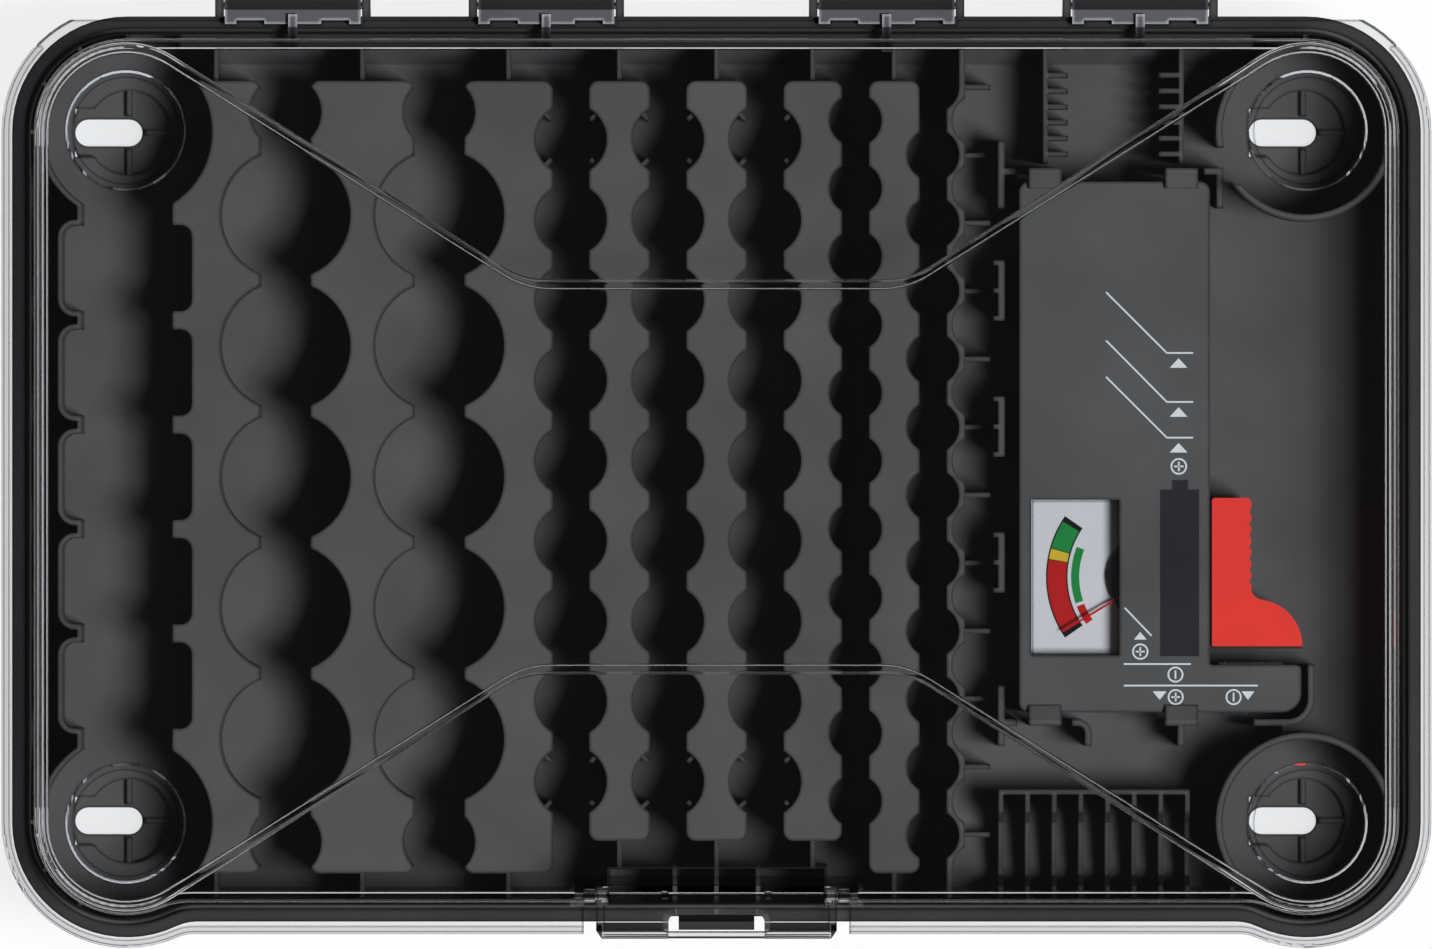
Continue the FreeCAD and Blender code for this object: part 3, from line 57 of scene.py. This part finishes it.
# View: straight down from far away, 299 mm of the deck's plane across the picture
VIEW_WIDTH = 299.0
VIEW_X = -0.1
VIEW_Y = 0.5
VIEW_PLANE_Z = 36.0
VIEW_DISTANCE = 8500.0
SENSOR = 36.0

# Key lamp: its offset for each millimetre of height, its height and its size
KEY_LEAN_X = 0.42
KEY_LEAN_Y = -0.153
KEY_HEIGHT = 4400.0
KEY_SIZE = 1250.0
KEY_SHARE = 1.25
SKY_SHARE = 0.03

# What gloss sees of the sky: white up to one height, and dark from another, of 1 overhead
HORIZON_TOP = 0.45
CEILING_EDGE = 0.75
CEILING_GLOSS = 0.045

# Clear plastic: how sharply it stops light that grazes it, the share that it lets through
# straight on, how it bends light and the colour that its depth takes on
GRAZE_POWER = 4.0
STRAIGHT_SHARE = 0.96
PLASTIC_IOR = 1.49
DEPTH_TONE = (0.02, 0.02, 0.05, 1.0)

# Surface textures: grain size and depth of moulded plastic and the depth of a smooth surface,
# in millimetres, the scales of clouds and streaks in each metre, and how far they reach
GRAIN_SIZE = 0.45
GRAIN_DEPTH = 0.02
SMOOTH_DEPTH = 0.004
STEEL_GRAIN_SIZE = 0.3
CLOUD_SCALE = 40.0
CLOUD_LOW = 0.3
CLOUD_HIGH = 0.7
STREAK_SCALE = 900.0
STREAK_LOW = 0.7
STREAK_HIGH = 1.3

# Share of the floor's look that is plain white, whatever shadow falls on it, and what clear
# edges that bend the view aside find: the floor goes dark from one distance to another
FLOOR_GLOW = 0.85
FLOOR_HALF = 6000.0
ASIDE_NEAR = 190.0
ASIDE_FAR = 320.0
ASIDE_DARK = 0.02

# Painted shade in a thin line along the edges of the moulded and clear pieces, and a painted
# highlight along the hinges' edges: their reach, the share of ways inward that may be free on
# an edge, and their share of the colour
EDGE_REACH = 0.7
EDGE_OPEN = 0.55
PAINTED_EDGE_SHADE = 0.25
CLEAR_EDGE_REACH = 0.65
CLEAR_EDGE_OPEN = 0.7
CLEAR_PAINTED_EDGE_SHADE = 0.02

# Painted shade: the rim's top is painted darker than the textured deck
RIM_LEVEL = 39.7
RIM_FADE = 0.3
RIM_PAINTED_SHADE = 0.5

# Painted shade, darker still, on the striker and the rim behind it, under the latch's window
STRIKER_HALF = 8.1
STRIKER_BACK = -90.3
STRIKER_Z = 33.7
STRIKER_PAINTED_SHADE = 0.1

# A hinge has a painted highlight along its edges, and painted shade behind its barrel and along
# its tongue
HINGE_PAINTED_EDGE_LIGHT = 4.0
BARREL_BACK = 97.4
BARREL_FRONT = 93.9
BARREL_FADE = 0.1
HINGE_PAINTED_SHADE = 0.2

# Painted shade over the upper bend of the latch, where it turns down, from its back to its front
BEND_Z = 43.0
BEND_Y0 = -95.0
BEND_Y1 = -92.9
BEND_PAINTED_SHADE = 0.03

# Tester printing, about the needle's pivot
PIVOT_X = 91.3
PIVOT_Y = -20.9
PRINT_T = 0.05
MARK_WIDTH = 0.34
SIGN_WIDTH = 0.36

# The dial's bands, from the needle's pivot: the wide scale and the narrow one inside it
SCALE_BACK = (17.9, 22.4)
SCALE = (18.2, 22.1)
INNER_SCALE = (15.45, 17.12)

BLACK = (0.012, 0.012, 0.013)
WHITE = (0.85, 0.85, 0.85)
GREEN = (0.02, 0.33, 0.07)
YELLOW = (0.9, 0.62, 0.05)
RED = (0.66, 0.02, 0.02)


def shader(name):
    """A new material with a principled shader, its nodes and its links."""
    material = bpy.data.materials.new(name)
    material.use_nodes = True
    return material, material.node_tree.nodes, material.node_tree.links


def math_node(nodes, links, operation, *values):
    """One sum on one or two values, each a socket or a number."""
    node = nodes.new("ShaderNodeMath")
    node.operation = operation
    for value, socket in zip(values, node.inputs):
        if isinstance(value, float):
            socket.default_value = value
        else:
            links.new(value, socket)
    return node.outputs["Value"]


def mixed(nodes, links, factor, first, second):
    """A mix of two shaders."""
    mix = nodes.new("ShaderNodeMixShader")
    links.new(factor, mix.inputs["Fac"])
    links.new(first, mix.inputs[1])
    links.new(second, mix.inputs[2])
    return mix.outputs["Shader"]


def apart(nodes, links, place):
    """The X, Y and Z of a point in its piece's own frame, in metres."""
    parts = nodes.new("ShaderNodeSeparateXYZ")
    links.new(place.outputs["Object"], parts.inputs["Vector"])
    return parts.outputs["X"], parts.outputs["Y"], parts.outputs["Z"]


def scaled(nodes, links, colour, value, low, high, low_share, high_share):
    """A colour times a share that follows a value from a low to a high one."""
    span = nodes.new("ShaderNodeMapRange")
    span.inputs["From Min"].default_value = low
    span.inputs["From Max"].default_value = high
    span.inputs["To Min"].default_value = low_share
    span.inputs["To Max"].default_value = high_share
    links.new(value, span.inputs["Value"])
    scale = nodes.new("ShaderNodeVectorMath")
    scale.operation = "SCALE"
    links.new(colour, scale.inputs["Vector"])
    links.new(span.outputs["Result"], scale.inputs["Scale"])
    return scale.outputs["Vector"]


def grain(nodes, links, size, depth):
    """A fine bump, its grain size and depth in millimetres: the place that it follows and the
    bump."""
    place = nodes.new("ShaderNodeTexCoord")
    noise = nodes.new("ShaderNodeTexNoise")
    noise.inputs["Scale"].default_value = 1.0 / (size * MM)
    noise.inputs["Detail"].default_value = 2.0
    links.new(place.outputs["Object"], noise.inputs["Vector"])
    bump = nodes.new("ShaderNodeBump")
    bump.inputs["Strength"].default_value = 1.0
    bump.inputs["Distance"].default_value = depth * MM
    links.new(noise.outputs["Fac"], bump.inputs["Height"])
    return place, bump


def painted_edge_shade_and_highlight(nodes, links, colour, reach, open_share, share):
    """A colour times a share in a thin line along sharp outer edges: painted shade where the
    share is under 1, a painted highlight where it is over 1. A place is fully on an edge where
    no more than the open share of the ways inward is free."""
    edge = nodes.new("ShaderNodeAmbientOcclusion")
    edge.inside = True
    edge.only_local = True
    edge.samples = 2
    edge.inputs["Distance"].default_value = reach * MM
    return scaled(nodes, links, colour, edge.outputs["AO"], open_share, 1.0, share, 1.0)


def painted_rim_and_striker_shade(nodes, links, colour, place):
    """A colour with painted shade above the rim's level, and more painted shade about the
    striker.
    """
    x, y, z = apart(nodes, links, place)
    lower = scaled(nodes, links, colour, z, (RIM_LEVEL - RIM_FADE) * MM, RIM_LEVEL * MM,
                   1.0, RIM_PAINTED_SHADE)
    side = math_node(nodes, links, "ABSOLUTE", x)
    middle = math_node(nodes, links, "LESS_THAN", side, STRIKER_HALF * MM)
    front = math_node(nodes, links, "LESS_THAN", y, STRIKER_BACK * MM)
    above = math_node(nodes, links, "GREATER_THAN", z, STRIKER_Z * MM)
    ahead = math_node(nodes, links, "MULTIPLY", middle, front)
    striker = math_node(nodes, links, "MULTIPLY", ahead, above)
    return scaled(nodes, links, lower, striker, 0.0, 1.0, 1.0, STRIKER_PAINTED_SHADE)


def painted_barrel_shade(nodes, links, colour, place):
    """A colour with painted shade behind a hinge's barrel and in front of it."""
    y = apart(nodes, links, place)[1]
    ahead = scaled(nodes, links, colour, y, (BARREL_FRONT - BARREL_FADE) * MM,
                   BARREL_FRONT * MM, HINGE_PAINTED_SHADE, 1.0)
    return scaled(nodes, links, ahead, y, BARREL_BACK * MM, (BARREL_BACK + BARREL_FADE) * MM,
                  1.0, HINGE_PAINTED_SHADE)


def painted_bend_shade(nodes, links, colour):
    """A colour with painted shade over the latch's upper bend."""
    place = nodes.new("ShaderNodeTexCoord")
    y, z = apart(nodes, links, place)[1:]
    high = math_node(nodes, links, "GREATER_THAN", z, BEND_Z * MM)
    behind = math_node(nodes, links, "GREATER_THAN", y, BEND_Y0 * MM)
    front = math_node(nodes, links, "LESS_THAN", y, BEND_Y1 * MM)
    between = math_node(nodes, links, "MULTIPLY", behind, front)
    both = math_node(nodes, links, "MULTIPLY", high, between)
    return scaled(nodes, links, colour, both, 0.0, 1.0, 1.0, BEND_PAINTED_SHADE)


def plastic(name, colour, roughness, grain_depth=GRAIN_DEPTH, cloud=0.12, gloss=0.5,
            edges=None, rim=False, barrel=False):
    """Moulded plastic: a fine bump, and a colour that varies a little over some centimetres,
    with the painted shade and highlight along edges, and the painted shade of places, that are
    asked for."""
    material, nodes, links = shader(name)
    body = nodes["Principled BSDF"]
    place, bump = grain(nodes, links, GRAIN_SIZE, grain_depth)
    cloudy = nodes.new("ShaderNodeTexNoise")
    cloudy.inputs["Scale"].default_value = CLOUD_SCALE
    cloudy.inputs["Detail"].default_value = 3.0
    links.new(place.outputs["Object"], cloudy.inputs["Vector"])
    ramp = nodes.new("ShaderNodeValToRGB")
    dark, pale = ramp.color_ramp.elements
    dark.position, pale.position = CLOUD_LOW, CLOUD_HIGH
    dark.color = [c * (1 - cloud) for c in colour] + [1.0]
    pale.color = [min(1.0, c * (1 + cloud)) for c in colour] + [1.0]
    links.new(cloudy.outputs["Fac"], ramp.inputs["Fac"])
    tone = ramp.outputs["Color"]
    if barrel:
        # Painted shade behind the hinge's barrel and along its tongue
        tone = painted_barrel_shade(nodes, links, tone, place)
    if edges:
        # Painted shade along the edges; on the hinges it is a painted highlight
        tone = painted_edge_shade_and_highlight(nodes, links, tone, EDGE_REACH, EDGE_OPEN, edges)
    if rim:
        # Painted shade on the rim's top and about the striker
        tone = painted_rim_and_striker_shade(nodes, links, tone, place)
    links.new(tone, body.inputs["Base Color"])
    body.inputs["Roughness"].default_value = roughness
    body.inputs["Specular IOR Level"].default_value = gloss
    links.new(bump.outputs["Normal"], body.inputs["Normal"])
    return material


def steel(name, colour, roughness):
    """Drawn or plated steel with fine streaks in its gloss."""
    material, nodes, links = shader(name)
    body = nodes["Principled BSDF"]
    body.inputs["Base Color"].default_value = (*colour, 1.0)
    body.inputs["Metallic"].default_value = 1.0
    place, bump = grain(nodes, links, STEEL_GRAIN_SIZE, SMOOTH_DEPTH)
    streak = nodes.new("ShaderNodeTexNoise")
    streak.inputs["Scale"].default_value = STREAK_SCALE
    links.new(place.outputs["Object"], streak.inputs["Vector"])
    span = nodes.new("ShaderNodeMapRange")
    span.inputs["To Min"].default_value = roughness * STREAK_LOW
    span.inputs["To Max"].default_value = roughness * STREAK_HIGH
    links.new(streak.outputs["Fac"], span.inputs["Value"])
    links.new(span.outputs["Result"], body.inputs["Roughness"])
    links.new(bump.outputs["Normal"], body.inputs["Normal"])
    return material


def clear(name, tint, roughness, dulling, bend=False):
    """Clear moulded plastic; lamps shine through it, less where their light grazes it. The
    dulling is how fast its depth takes away the view, for each metre. A thin line of painted
    shade runs along its edges, and painted shade lies over the latch's bend where asked."""
    material, nodes, links = shader(name)
    body = nodes["Principled BSDF"]
    plain = nodes.new("ShaderNodeRGB")
    plain.outputs["Color"].default_value = (*tint, 1.0)
    # Painted shade in a thin line along the clear piece's edges
    tone = painted_edge_shade_and_highlight(nodes, links, plain.outputs["Color"], CLEAR_EDGE_REACH, CLEAR_EDGE_OPEN,
                 CLEAR_PAINTED_EDGE_SHADE)
    if bend:
        # Painted shade over the latch's upper bend
        tone = painted_bend_shade(nodes, links, tone)
    links.new(tone, body.inputs["Base Color"])
    body.inputs["Roughness"].default_value = roughness
    body.inputs["Transmission Weight"].default_value = 1.0
    body.inputs["IOR"].default_value = PLASTIC_IOR
    path = nodes.new("ShaderNodeLightPath")
    through = nodes.new("ShaderNodeBsdfTransparent")
    slant = nodes.new("ShaderNodeLayerWeight")
    slant.inputs["Blend"].default_value = 0.5
    graze = math_node(nodes, links, "POWER", slant.outputs["Facing"], GRAZE_POWER)
    shade = nodes.new("ShaderNodeValToRGB")
    shade.color_ramp.elements[0].color = (*[STRAIGHT_SHARE * c for c in tint], 1.0)
    shade.color_ramp.elements[1].color = (0, 0, 0, 1)
    links.new(graze, shade.inputs["Fac"])
    links.new(shade.outputs["Color"], through.inputs["Color"])
    surface = mixed(nodes, links, path.outputs["Is Shadow Ray"], body.outputs["BSDF"],
                    through.outputs["BSDF"])
    links.new(surface, nodes["Material Output"].inputs["Surface"])
    depth = nodes.new("ShaderNodeVolumeAbsorption")
    depth.inputs["Color"].default_value = DEPTH_TONE
    depth.inputs["Density"].default_value = dulling
    links.new(depth.outputs["Volume"], nodes["Material Output"].inputs["Volume"])
    return material


def dress(node, material):
    """Give a node of the frame its finish."""
    slots = frame["nodes"][node].data.materials
    for index in range(len(slots)):
        slots[index] = material


def slab(bm, loop, z0, z1):
    """A closed flat slab from a loop of points in millimetres."""
    low = [bm.verts.new((x * MM, y * MM, z0)) for x, y in loop]
    high = [bm.verts.new((x * MM, y * MM, z1)) for x, y in loop]
    bm.faces.new(high)
    bm.faces.new(low[::-1])
    for index in range(len(loop)):
        after = (index + 1) % len(loop)
        bm.faces.new((low[index], low[after], high[after], high[index]))


def sector(x, y, r0, r1, start, end, steps=24):
    """A stretch of a ring about a centre, its angles in degrees from +X."""
    angles = [math.radians(start + (end - start) * i / steps) for i in range(steps + 1)]
    outer = [(x + r1 * math.cos(a), y + r1 * math.sin(a)) for a in angles]
    inner = [(x + r0 * math.cos(a), y + r0 * math.sin(a)) for a in angles]
    return outer + inner[::-1]


def band(r0, r1, low, high):
    """A band of the dial: its angles are counted from -X, upwards."""
    return sector(PIVOT_X, PIVOT_Y, r0, r1, 180 - high, 180 - low)


def stroke(x0, y0, x1, y1, width):
    """A straight printed line with square ends."""
    along = Vector((x1 - x0, y1 - y0)).normalized() * width / 2.0
    side = Vector((-along.y, along.x))
    a, b = Vector((x0, y0)), Vector((x1, y1))
    return [tuple(p) for p in (a - side, b - side, b + side, a + side)]


def block(x0, x1, y0, y1):
    """A rectangle."""
    return [(x0, y0), (x1, y0), (x1, y1), (x0, y1)]


def printed(name, loops, z, material, body):
    """One printed colour: thin slabs on a surface at a height, riding on a body."""
    bm = bmesh.new()
    for loop in loops:
        slab(bm, loop, z, z + PRINT_T * MM)
    bmesh.ops.recalc_face_normals(bm, faces=bm.faces)
    mesh = bpy.data.meshes.new(name)
    bm.to_mesh(mesh)
    bm.free()
    mesh.materials.append(material)
    piece = bpy.data.objects.new(name, mesh)
    bpy.context.scene.collection.objects.link(piece)
    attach(piece, body)


def polarity(x, y, r, plus):
    """A ring with a plus or a minus sign; the signs read from the tester's right side."""
    inner = r - SIGN_WIDTH
    loops = [sector(x, y, inner, r, 0, 180), sector(x, y, inner, r, 180, 360)]
    reach = r - 0.75
    loops.append(stroke(x, y - reach, x, y + reach, SIGN_WIDTH))
    if plus:
        loops.append(stroke(x - reach, y, x + reach, y, SIGN_WIDTH))
    return loops


def arrow(x0, x1, base, tip):
    """A small solid triangle."""
    return [(x0, base), (x1, base), ((x0 + x1) / 2.0, tip)]


def tester_marks():
    """White lines, arrows and signs on the tester's face."""
    loops = []
    for y_start, y_run in ((38.6, 25.9), (28.5, 15.66), (20.9, 8.2)):
        loops.append(stroke(81.4, y_start, 94.1, y_run, MARK_WIDTH))
        loops.append(stroke(94.0, y_run, 99.6, y_run, MARK_WIDTH))
        loops.append(arrow(94.7, 98.4, y_run - 3.1, y_run - 1.1))
    loops += polarity(96.6, 2.2, 1.73, True)
    loops.append(stroke(85.3, -27.35, 90.9, -33.2, MARK_WIDTH))
    loops.append(arrow(87.2, 89.9, -34.0, -32.4))
    loops += polarity(88.55, -36.5, 1.7, True)
    loops.append(stroke(85.1, -39.1, 99.1, -39.1, MARK_WIDTH))
    loops += polarity(95.9, -41.3, 1.67, False)
    loops.append(stroke(85.1, -43.6, 113.1, -43.6, MARK_WIDTH))
    for x0, x1 in ((91.15, 94.06), (109.7, 112.4)):
        loops.append(arrow(x0, x1, -44.8, -46.6))
    loops += polarity(95.95, -46.0, 1.67, True)
    loops += polarity(108.05, -46.0, 1.67, False)
    return loops


def dial_marks(top):
    """The meter's scale: a black outline, and colour bands upon it."""
    printed("dial_outline", [band(*SCALE_BACK, -34.6, 34.6)], top, INK, "base")
    level = top + PRINT_T * MM
    printed("dial_red_band", [band(*SCALE, -31.5, 9.4), band(*INNER_SCALE, -35.2, -21.3)],
            level, DIAL_RED, "base")
    printed("dial_yellow_band", [band(*SCALE, 9.8, 15.5)], level, DIAL_YELLOW, "base")
    printed("dial_green_band", [band(*SCALE, 15.9, 31.5), band(*INNER_SCALE, -18.9, 21.5)],
            level, DIAL_GREEN, "base")


def lamp(name, x, y, z, size, share):
    """A square soft lamp that points at the case; at a share of 1 it lights a colour to
    about its written value."""
    data = bpy.data.lights.new(name, "AREA")
    data.shape = "SQUARE"
    data.size = size * MM
    place = Vector((x, y, z)) * MM
    data.energy = share * math.pi ** 2 * place.length_squared
    light = bpy.data.objects.new(name, data)
    light.location = place
    light.rotation_euler = (-place).to_track_quat("-Z", "Y").to_euler()
    light.visible_transmission = False
    light.visible_glossy = False
    bpy.context.scene.collection.objects.link(light)


def straight_view(nodes, links, with_gloss):
    """A factor that is 1 for rays that come from the camera straight or through a clear
    piece, and if asked also off a gloss, and 0 for those that light a surface."""
    path = nodes.new("ShaderNodeLightPath")
    first = math_node(nodes, links, "LESS_THAN", path.outputs["Diffuse Depth"], 0.5)
    if with_gloss:
        return first
    plain = math_node(nodes, links, "LESS_THAN", path.outputs["Glossy Depth"], 0.5)
    return math_node(nodes, links, "MULTIPLY", first, plain)


def bent_view(nodes, links):
    """A factor that is 1 for rays that have come through a clear piece and off no gloss."""
    path = nodes.new("ShaderNodeLightPath")
    through = math_node(nodes, links, "GREATER_THAN", path.outputs["Transmission Depth"], 0.5)
    plain = math_node(nodes, links, "LESS_THAN", path.outputs["Glossy Depth"], 0.5)
    return math_node(nodes, links, "MULTIPLY", through, plain)


def world():
    """A weak even sky. It looks white behind the case and dark through clear edges, and in
    gloss it is a pale horizon under a dark ceiling."""
    sky = bpy.data.worlds.new("studio")
    bpy.context.scene.world = sky
    sky.use_nodes = True
    sky.cycles.sampling_method = "NONE"
    nodes, links = sky.node_tree.nodes, sky.node_tree.links
    lit = nodes["Background"]
    lit.inputs["Color"].default_value = (1, 1, 1, 1)
    lit.inputs["Strength"].default_value = SKY_SHARE
    white = nodes.new("ShaderNodeBackground")
    white.inputs["Color"].default_value = (1, 1, 1, 1)
    glossed = nodes.new("ShaderNodeBackground")
    place = nodes.new("ShaderNodeTexCoord")
    height = nodes.new("ShaderNodeSeparateXYZ")
    links.new(place.outputs["Generated"], height.inputs["Vector"])
    ramp = nodes.new("ShaderNodeValToRGB")
    low, high = ramp.color_ramp.elements
    low.position, high.position = HORIZON_TOP, CEILING_EDGE
    low.color = (1, 1, 1, 1)
    high.color = (*[CEILING_GLOSS] * 3, 1)
    links.new(height.outputs["Z"], ramp.inputs["Fac"])
    links.new(ramp.outputs["Color"], glossed.inputs["Color"])
    off_gloss = mixed(nodes, links, straight_view(nodes, links, True),
                      lit.outputs["Background"], glossed.outputs["Background"])
    dark = nodes.new("ShaderNodeBackground")
    dark.inputs["Color"].default_value = (*[ASIDE_DARK] * 3, 1)
    seen = mixed(nodes, links, bent_view(nodes, links), white.outputs["Background"],
                 dark.outputs["Background"])
    whole = mixed(nodes, links, straight_view(nodes, links, False), off_gloss, seen)
    links.new(whole, nodes["World Output"].inputs["Surface"])


def floor():
    """A plain floor that looks white and keeps a faint shadow."""
    half = FLOOR_HALF * MM
    mesh = bpy.data.meshes.new("floor")
    mesh.from_pydata([(-half, -half, 0), (half, -half, 0), (half, half, 0), (-half, half, 0)],
                     [], [(0, 1, 2, 3)])
    material, nodes, links = shader("floor_white")
    body = nodes["Principled BSDF"]
    body.inputs["Base Color"].default_value = (0.8, 0.8, 0.8, 1)
    body.inputs["Roughness"].default_value = 1.0
    body.inputs["Specular IOR Level"].default_value = 0.0
    white = nodes.new("ShaderNodeEmission")
    place = nodes.new("ShaderNodeNewGeometry")
    distance = nodes.new("ShaderNodeVectorMath")
    distance.operation = "LENGTH"
    links.new(place.outputs["Position"], distance.inputs["Vector"])
    fade = nodes.new("ShaderNodeMapRange")
    fade.inputs["From Min"].default_value = ASIDE_NEAR * MM
    fade.inputs["From Max"].default_value = ASIDE_FAR * MM
    fade.inputs["To Min"].default_value = 0.0
    fade.inputs["To Max"].default_value = 1.0 - ASIDE_DARK
    links.new(distance.outputs["Value"], fade.inputs["Value"])
    lost = math_node(nodes, links, "MULTIPLY", bent_view(nodes, links), fade.outputs["Result"])
    kept = math_node(nodes, links, "SUBTRACT", 1.0, lost)
    links.new(kept, white.inputs["Strength"])
    factor = math_node(nodes, links, "MULTIPLY", straight_view(nodes, links, True),
                       FLOOR_GLOW)
    whole = mixed(nodes, links, factor, body.outputs["BSDF"], white.outputs["Emission"])
    links.new(whole, nodes["Material Output"].inputs["Surface"])
    mesh.materials.append(material)
    plane = bpy.data.objects.new("floor", mesh)
    bpy.context.scene.collection.objects.link(plane)


def camera():
    """The photograph's view."""
    data = bpy.data.cameras.new("camera")
    data.sensor_width = SENSOR
    data.lens = SENSOR * VIEW_DISTANCE / VIEW_WIDTH
    data.clip_start = 0.5 * VIEW_DISTANCE * MM
    data.clip_end = 2.0 * VIEW_DISTANCE * MM
    view = bpy.data.objects.new("camera", data)
    view.location = (VIEW_X * MM, VIEW_Y * MM, (VIEW_PLANE_Z + VIEW_DISTANCE) * MM)
    bpy.context.scene.collection.objects.link(view)
    bpy.context.scene.camera = view


camera()
world()
floor()
lamp("key", KEY_LEAN_X * KEY_HEIGHT, KEY_LEAN_Y * KEY_HEIGHT, KEY_HEIGHT, KEY_SIZE, KEY_SHARE)
bpy.context.scene.view_settings.view_transform = "Standard"

# The tray: painted shade along its edges, on its rim's top and about the striker
TRAY = plastic("tray_plastic", (0.11, 0.108, 0.1075), 0.55, gloss=0.2,
               edges=PAINTED_EDGE_SHADE, rim=True)
# The hinges: a painted highlight along their edges, and painted shade about the barrel
HINGE = plastic("hinge_plastic", (0.085, 0.087, 0.095), 0.4, gloss=0.3,
                edges=HINGE_PAINTED_EDGE_LIGHT, barrel=True)
# Clear pieces: a thin line of painted shade along their edges
CLEAR = clear("clear_plastic", (0.942, 0.955, 0.97), 0.02, 45.0)
# The latch: painted shade over its upper bend
FLAP = clear("latch_plastic", (0.942, 0.955, 0.97), 0.02, 45.0, bend=True)
PANE = clear("window_plastic", (0.98, 0.98, 0.98), 0.02, 5.0)
# The tester: painted shade along its edges
TESTER = plastic("tester_plastic", (0.104, 0.104, 0.104), 0.5, gloss=0.2,
                 edges=PAINTED_EDGE_SHADE)
SLIDER = plastic("slider_plastic", (0.95, 0.058, 0.045), 0.45, cloud=0.06, gloss=0.3)
CARD = plastic("dial_card", (0.88, 0.885, 0.9), 0.6, cloud=0.02, grain_depth=SMOOTH_DEPTH)
MOVEMENT = plastic("movement_plastic", (0.012, 0.012, 0.013), 0.35)
NEEDLE = plastic("needle_paint", RED, 0.4, grain_depth=SMOOTH_DEPTH)
LACQUER = plastic("resistor_lacquer", (0.5, 0.4, 0.26), 0.35)
CONTACT = steel("contact_plate", (0.78, 0.77, 0.74), 0.25)
STEEL = steel("drawn_steel", (0.6, 0.6, 0.6), 0.3)
PRINT_WHITE = plastic("white_print", WHITE, 0.55, cloud=0.02, grain_depth=SMOOTH_DEPTH)
PRINT_BLACK = plastic("black_print", (0.028, 0.028, 0.031), 0.5, grain_depth=0.01)
INK = plastic("dial_black", BLACK, 0.5, grain_depth=SMOOTH_DEPTH)
DIAL_RED = plastic("dial_red", RED, 0.5, grain_depth=SMOOTH_DEPTH)
DIAL_GREEN = plastic("dial_green", GREEN, 0.5, grain_depth=SMOOTH_DEPTH)
DIAL_YELLOW = plastic("dial_yellow", YELLOW, 0.5, grain_depth=SMOOTH_DEPTH)

FINISHES = {
    "base_tray": TRAY, "lid": CLEAR, "latch": FLAP, "latch_pin": STEEL,
    "tester_front_shell": TESTER, "tester_back_shell": TESTER, "tester_screws": STEEL,
    "meter_window": PANE, "meter_dial": CARD, "meter_movement": MOVEMENT,
    "meter_needle": NEEDLE, "clamp_slider": SLIDER, "slider_contact": CONTACT,
    "foot_contact": CONTACT, "block_contacts": CONTACT, "load_resistor": LACQUER}
for node in frame["nodes"]:
    if node.startswith("hinge_clip"):
        dress(node, HINGE)
    elif node.startswith("hinge_pin"):
        dress(node, STEEL)
    else:
        dress(node, FINISHES[node])

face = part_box("tester_front_shell")[1].z
printed("tester_marks", tester_marks(), face, PRINT_WHITE, "base")
printed("tester_cell_field", [block(92.7, 100.85, -37.48, -2.63),
                              block(95.2, 98.55, -2.63, -0.63)], face, PRINT_BLACK, "base")
dial_marks(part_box("meter_dial")[1].z)
